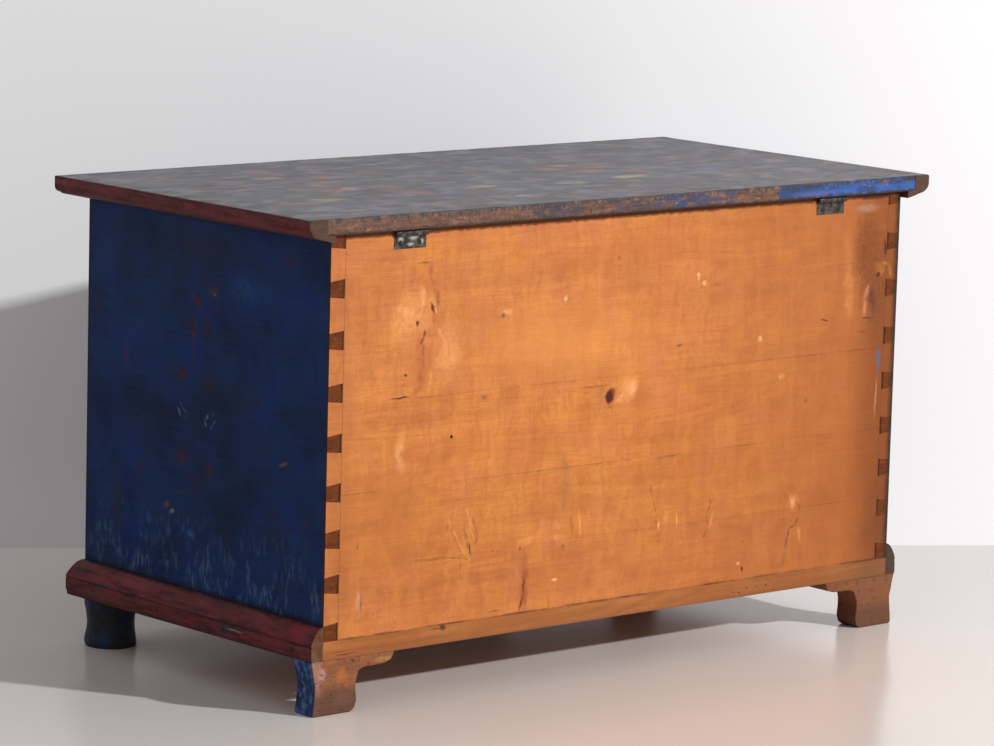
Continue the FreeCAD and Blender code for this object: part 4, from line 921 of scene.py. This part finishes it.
def end_strip(side, sign):
    """Nosing at an end: a cap over the lid's boards, a heel under them and a rounded outer side."""
    low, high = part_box("lid_strip_" + side)
    outer = high.x if sign > 0 else low.x
    cap = outer - sign * 29 * MM
    heel = outer - sign * 43 * MM
    round_in = outer - sign * 8 * MM
    x0, x1 = sorted((cap, outer))
    strip = block("lid_nosing_" + side, (x0, low.y, RIM), (x1, high.y, high.z))
    pick(strip, "FACE", lambda mid, face: near(mid.z, RIM))
    pull(2, low.z - RIM)
    pick(strip, "FACE", lambda mid, face: near(mid.x, cap) and mid.z < RIM)
    pull(0, heel - cap)
    saw((round_in, 0, 0), (1, 0, 0))
    for x, lift in ((outer, 14.5), (round_in, 7.5), (cap, 3)):
        shift(strip, {0: x, 2: low.z}, 2, lift * MM)
    pick(strip, "VERT", lambda place: at(place, {0: outer, 2: RIM}))
    bpy.ops.mesh.dissolve_verts()
    for width, x, under in ((4.5, outer, RIM + 10 * MM), (3.5, round_in, RIM)):
        ease(strip, width, 3, lambda mid, edge: lies_along(edge, 1) and near(mid.x, x) and mid.z < under)
    ease(strip, 2.2, 3, lambda mid, edge: lies_along(edge, 1) and at(mid, {0: outer, 2: high.z}))
    split_along(strip, 1, 70)
    saw((0, high.y - 1.5 * MM, 0), (0, 1, 0))
    pick(strip, "VERT", lambda place: near(place.y, high.y) and sign * (place.x - cap) > -1 * MM
         and place.z > low.z + 5 * MM)
    bpy.ops.transform.resize(value=(0.96, 1, 0.91), center_override=(cap, high.y, RIM + 11 * MM))
    close()
    wear(strip, nosing_wear(0, sign, outer))
    dress(strip, "lid", nosing_finish, ["lid_strip_" + side], 40)


end_strip("left", -1)
end_strip("right", 1)


# How far the front strip's underside rises towards its ends: millimetres from the end, and the rise
NOSING_ENDS = ((0, 14.5), (1, 12.4), (3, 10.4), (5, 9.0), (8, 7.5), (29, 3.0), (43, 0.0))


def front_strip():
    """Nosing along the front. Its underside takes the end strips' shape where they meet it."""
    low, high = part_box("lid_strip_front")
    strip = block("lid_nosing_front", low, high)
    round_in = low.y + 8 * MM
    saw((0, round_in, 0), (0, 1, 0))
    shift(strip, {1: low.y, 2: low.z}, 2, high.z - 17.5 * MM - low.z)
    shift(strip, {1: round_in, 2: low.z}, 2, 2.2 * MM)
    ease(strip, 4.5, 3, lambda mid, edge: lies_along(edge, 0) and near(mid.y, low.y)
         and mid.z < RIM + 10 * MM)
    for inset, lift in NOSING_ENDS[-1:0:-1]:
        for end in (low.x + inset * MM, high.x - inset * MM):
            saw((end, 0, 0), (1, 0, 0))
    ease(strip, 2.2, 3, lambda mid, edge: lies_along(edge, 0) and at(mid, {1: low.y, 2: high.z}))
    split_along(strip, 0, 120)
    close()
    wear(strip, nosing_wear(1, -1, low.y))

    def rounded_end(place):
        inset = (high.x - abs(place.x)) / MM
        for (near_end, high_lift), (far_end, low_lift) in zip(NOSING_ENDS, NOSING_ENDS[1:]):
            if near_end <= inset <= far_end:
                lift = high_lift + (low_lift - high_lift) * (inset - near_end) / (far_end - near_end)
                return Vector((0, 0, max(0.0, low.z + lift * MM - place.z)))
        return Vector()

    wear(strip, rounded_end)
    dress(strip, "lid", nosing_finish, ["lid_strip_front"], 40)


front_strip()

# Plinth moulding: rounded top, a groove and an upright foot, and how far it sags towards the front
PLINTH_OUT = 19.5 * MM
PLINTH_HEIGHT = 46.0
# Places on the rounded top, out from the wall and up, in millimetres
PLINTH_ARC = ((3.1, 46.0), (7.6, 43.2), (11.7, 38.6), (15.2, 32.8), (17.8, 27.4))
PLINTH_SAG = 4.2 * MM
plinth_paint = plinth_finish()


def plinth_strip(side, axis, sign):
    """A strip of moulding on the wall that faces sign along the axis."""
    low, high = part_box("plinth_" + side)
    wall = (HALF if axis == 0 else -FRONT) * sign
    face = wall + sign * PLINTH_OUT
    run = 1 - axis
    strip = block("plinth_moulding_" + side, low, high)
    for distance, height in PLINTH_ARC:
        saw(only(axis, wall + sign * distance * MM), only(axis, 1.0))
    for height in (21.4, 20.2, 19.0, 3.2):
        saw((0, 0, low.z + height * MM), (0, 0, 1))
    for distance, height in PLINTH_ARC + ((PLINTH_OUT / MM, 22.6),):
        shift(strip, {axis: wall + sign * distance * MM, 2: high.z}, 2, (height - PLINTH_HEIGHT) * MM)
    for height, depth in ((20.2, 1.1), (0, 2.0)):
        shift(strip, {axis: face, 2: low.z + height * MM}, axis, -sign * depth * MM)
    ease(strip, 2, 2, lambda mid, edge: lies_along(edge, run) and at(mid, {axis: face, 2: low.z + 3.2 * MM}))
    split_along(strip, run, 80 if axis == 0 else 130)
    for corner in ((1, -1) if axis == 1 else (sign,)):
        toward = Vector((-corner, -1, 0)) if axis == 0 else Vector((corner, 1, 0))
        saw((corner * HALF, FRONT, 0), toward.normalized(), True)
    close()

    def push(place):
        swell = rough(place, 0.045, 4.0) * 0.9 + rough(place, 0.014, 7.0) * 0.5
        dent = 2.2 * bumps(place, 0.011, 2.0, 0.25)
        share = max(0.0, min(1.0, sign * (place[axis] - wall) / PLINTH_OUT))
        if share < 0.1 or place.z < low.z + 0.4 * MM:
            forward = max(0.0, min(1.0, (BACK - place.y) / (BACK - FRONT)))
            return Vector((0, 0, -PLINTH_SAG * forward * (share >= 0.1)))
        drop = (min(0.0, swell - 0.7) - dent) * share * MM
        moved = only(axis, sign * drop * 0.8)
        moved.z = drop * 0.8 if place.z > low.z + 23 * MM else 0.0
        return moved

    wear(strip, push)
    dress(strip, "carcass", plinth_paint, ["plinth_" + side], 40)


plinth_strip("right", 0, 1)
plinth_strip("left", 0, -1)
plinth_strip("front", 1, -1)

# Turned front feet: height and radius in millimetres, from the floor up
FOOT_RINGS = ((0, 35.2), (0.8, 35.9), (3, 36.8), (8, 37.4), (14, 36.2), (22, 34.3), (33, 33.5),
              (42, 34.0), (50, 35.2), (57, 36.9), (60.5, 37.4), (66, 37.4), (74, 37.4))
foot_paint = turned_foot_finish()


def turned_foot(side):
    low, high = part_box("front_foot_" + side)
    middle = (low + high) / 2
    bpy.ops.mesh.primitive_circle_add(vertices=56, radius=FOOT_RINGS[0][1] * MM, fill_type="NGON",
                                      location=(middle.x, middle.y, 0))
    foot = bpy.context.object
    foot.name = foot.data.name = "turned_foot_" + side
    bpy.ops.object.transform_apply(location=True, rotation=True, scale=True)
    bpy.ops.object.mode_set(mode="EDIT")
    bpy.ops.mesh.select_all(action="SELECT")
    for (z0, r0), (z1, r1) in zip(FOOT_RINGS, FOOT_RINGS[1:]):
        pull(2, (z1 - z0) * MM)
        bpy.ops.transform.resize(value=(r1 / r0, r1 / r0, 1), center_override=(middle.x, middle.y, z1 * MM))
    close()

    def push(place):
        out = Vector((place.x - middle.x, place.y - middle.y, 0))
        if out.length < 1 * MM or place.z > 73 * MM:
            return Vector()
        dent = min(0.0, rough(place, 0.022, 3.0) * 1.3 + rough(place, 0.008, 5.0) * 0.7 - 0.35)
        return out.normalized() * dent * MM

    wear(foot, push)
    dress(foot, "carcass", foot_paint, ["front_foot_" + side], 45)


turned_foot("left")
turned_foot("right")

# Slab feet at the back, sawn from a board: a waisted leg with a toe and a wing under the bottom
slab_finish = slab_foot_finish()
# The wing's lower side: how far it is from the moulding's outer side, and its height, in millimetres
WING = ((83, 55.1), (90.9, 58.1), (125, 59.2), (137, 62.9), (142, 73.9))
# Height, and how far the heel and the toe are from the moulding's outer side, in millimetres
LEG_LEVELS = ((3, 3.6, 73.0), (5.2, 4.4, 75.4), (14.8, 6.0, 78.7), (31, 7.5, 76.7), (40.7, 7.5, 77.2),
              (47.4, 6.2, 79.5))
LEG_ENDS = ((0, 6.4, 67.5), (WING[0][1], 4.6, 83))
HEEL, TOE = 5.0, 79.5  # the straight block's own, before each height gets its own


def slab_foot(side, sign):
    low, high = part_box("back_foot_" + side)
    outer = sign * (HALF + PLINTH_OUT)
    top = high.z

    def inward(distance):
        return outer - sign * distance * MM

    x0, x1 = sorted((inward(HEEL), inward(TOE)))
    foot = block("slab_foot_" + side, (x0, low.y, 0), (x1, high.y, top))
    for height in [level[0] for level in LEG_LEVELS] + [WING[0][1]]:
        saw((0, 0, height * MM), (0, 0, 1))
    for height, heel, toe in LEG_LEVELS + LEG_ENDS + ((top / MM, 1.4, 83),):
        shift(foot, {0: inward(HEEL), 2: height * MM}, 0, inward(heel) - inward(HEEL))
        shift(foot, {0: inward(TOE), 2: height * MM}, 0, inward(toe) - inward(TOE))
    for (d0, z0), (d1, z1) in zip(WING, WING[1:]):
        pick(foot, "FACE", lambda mid, face: near(mid.x, inward(d0), 0.4 * MM) and mid.z > z0 * MM)
        pull(0, inward(d1) - inward(d0))
        pick(foot, "VERT", lambda place: near(place.x, inward(d1)) and place.z < top - 0.05 * MM)
        bpy.ops.transform.translate(value=(0, 0, (z1 - z0) * MM))
    bpy.ops.mesh.select_all(action="SELECT")
    bpy.ops.mesh.remove_doubles(threshold=0.12 * MM)
    ease(foot, 1.8, 2, lambda mid, edge: len(edge.link_faces) == 2 and edge.calc_face_angle(0) > 0.7
         and mid.z < top - 1 * MM and (near(mid.y, high.y) or near(mid.y, low.y)))
    split_along(foot, 1, 8)
    close()

    def push(place):
        if place.z > top - 2 * MM:
            return Vector()
        dent = min(0.0, rough(place, 0.02, 3.0) * 1.2 + rough(place, 0.008, 9.0) * 0.6 - 0.4)
        moved = Vector((sign if place.x * sign > inward(40) * sign else -sign, 0, 0)) * dent
        if place.y > high.y - 1 * MM:
            moved.y = dent * 0.4
        return moved * MM

    wear(foot, push)
    dress(foot, "carcass", slab_finish, ["back_foot_" + side], 40)


slab_foot("left", -1)
slab_foot("right", 1)

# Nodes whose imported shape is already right
leaf_x, leaf_z = (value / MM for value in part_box("hinge_leaf_right")[1].xz)
rubbed_leaf = iron("rubbed_forged_iron", "#4E4640", "#8A8078", [
    (leaf_x - 11, leaf_z - 13, 7, 9), (leaf_x - 33, leaf_z - 10, 12, 7),
    (leaf_x - 47, leaf_z - 17, 5, 5), (leaf_x - 28, leaf_z - 20, 8, 4)])
till_pine, till_where = new_material("till_pine")
for finish, names in (
    (iron("forged_iron", "#4E4843", "#8E857C"),
     ("hinge_pin_left", "hinge_pin_right", "hinge_strap_left", "hinge_strap_right", "hinge_leaf_left",
      "lock_case", "escutcheon", "lid_staple", "lock_bolt", "key")),
    (iron("rusted_nail_iron", "#35281F", "#5E5046"),
     ("hinge_leaf_nails", "bottom_nails", "foot_nails", "lock_nails", "escutcheon_nails",
      "hinge_strap_nails", "staple_nails")),
    (seal(till_pine, raw_pine(till_where, 1, 2.0)), ("till_side", "till_floor")),
    (rubbed_leaf, ("hinge_leaf_right",)),
    (nosing_finish, ("strip_nails",)),
    (plinth_paint, ("plinth_nails",)),
):
    for name in names:
        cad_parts[name].data.materials.clear()
        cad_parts[name].data.materials.append(finish)

# Floor and plain wall behind, as in a studio corner
bpy.ops.mesh.primitive_plane_add(size=24, location=(0, 0, 0))
floor = bpy.context.object
floor.name = "floor"
floor.data.materials.append(floor_finish("pale_floor", "#F4ECE5", 0.17))
bpy.ops.mesh.primitive_plane_add(size=16, location=(-0.33, -0.53, 0),
                                 rotation=(math.radians(90), 0, math.radians(180 - 31.85)))
wall = bpy.context.object
wall.name = "wall"
wall_material = new_material("pale_wall")[0]
wall_tree = wall_material.node_tree
wall_shader = wall_tree.nodes["Principled BSDF"]
wall_shader.inputs["Base Color"].default_value = linear("#F6F6F8")
wall_shader.inputs["Roughness"].default_value = 0.9
both_sides = add("MixShader", {0: add("NewGeometry", {}, "Backfacing", wall_tree), 1: wall_shader.outputs[0],
                               2: add("BsdfTransparent", {}, 0, wall_tree)})
wall_tree.links.new(both_sides, wall_tree.nodes["Material Output"].inputs[0])
wall.data.materials.append(wall_material)
wall.visible_shadow = False
wall.visible_diffuse = False

# Light: one soft lamp from the right of the camera and a pale even surround
lamp_data = bpy.data.lights.new("softbox", "AREA")
lamp_data.shape = "SQUARE"
lamp_data.size = 0.265
lamp_data.energy = 700
lamp = bpy.data.objects.new("softbox", lamp_data)
bpy.context.scene.collection.objects.link(lamp)
lamp.location = (-3.493, 7.192, 4.08)
LAMP_AIM = Vector((0, 0, 0.35))
lamp.rotation_euler = (lamp.location - LAMP_AIM).to_track_quat("Z", "Y").to_euler()
surround = bpy.data.worlds.new("surround")
surround.use_nodes = True
surround.node_tree.nodes["Background"].inputs[0].default_value = linear("#F4F3F3")
surround.node_tree.nodes["Background"].inputs[1].default_value = 0.43
bpy.context.scene.world = surround

camera_data = bpy.data.cameras.new("camera")
camera_data.sensor_width = 36
camera_data.lens = 163.52
camera = bpy.data.objects.new("camera", camera_data)
camera.location = (4.1382, 4.8311, 1.3780)
camera.rotation_euler = (1.414641, -0.026573, 2.436383)
bpy.context.scene.collection.objects.link(camera)
bpy.context.scene.camera = camera
bpy.context.scene.view_settings.view_transform = "Standard"
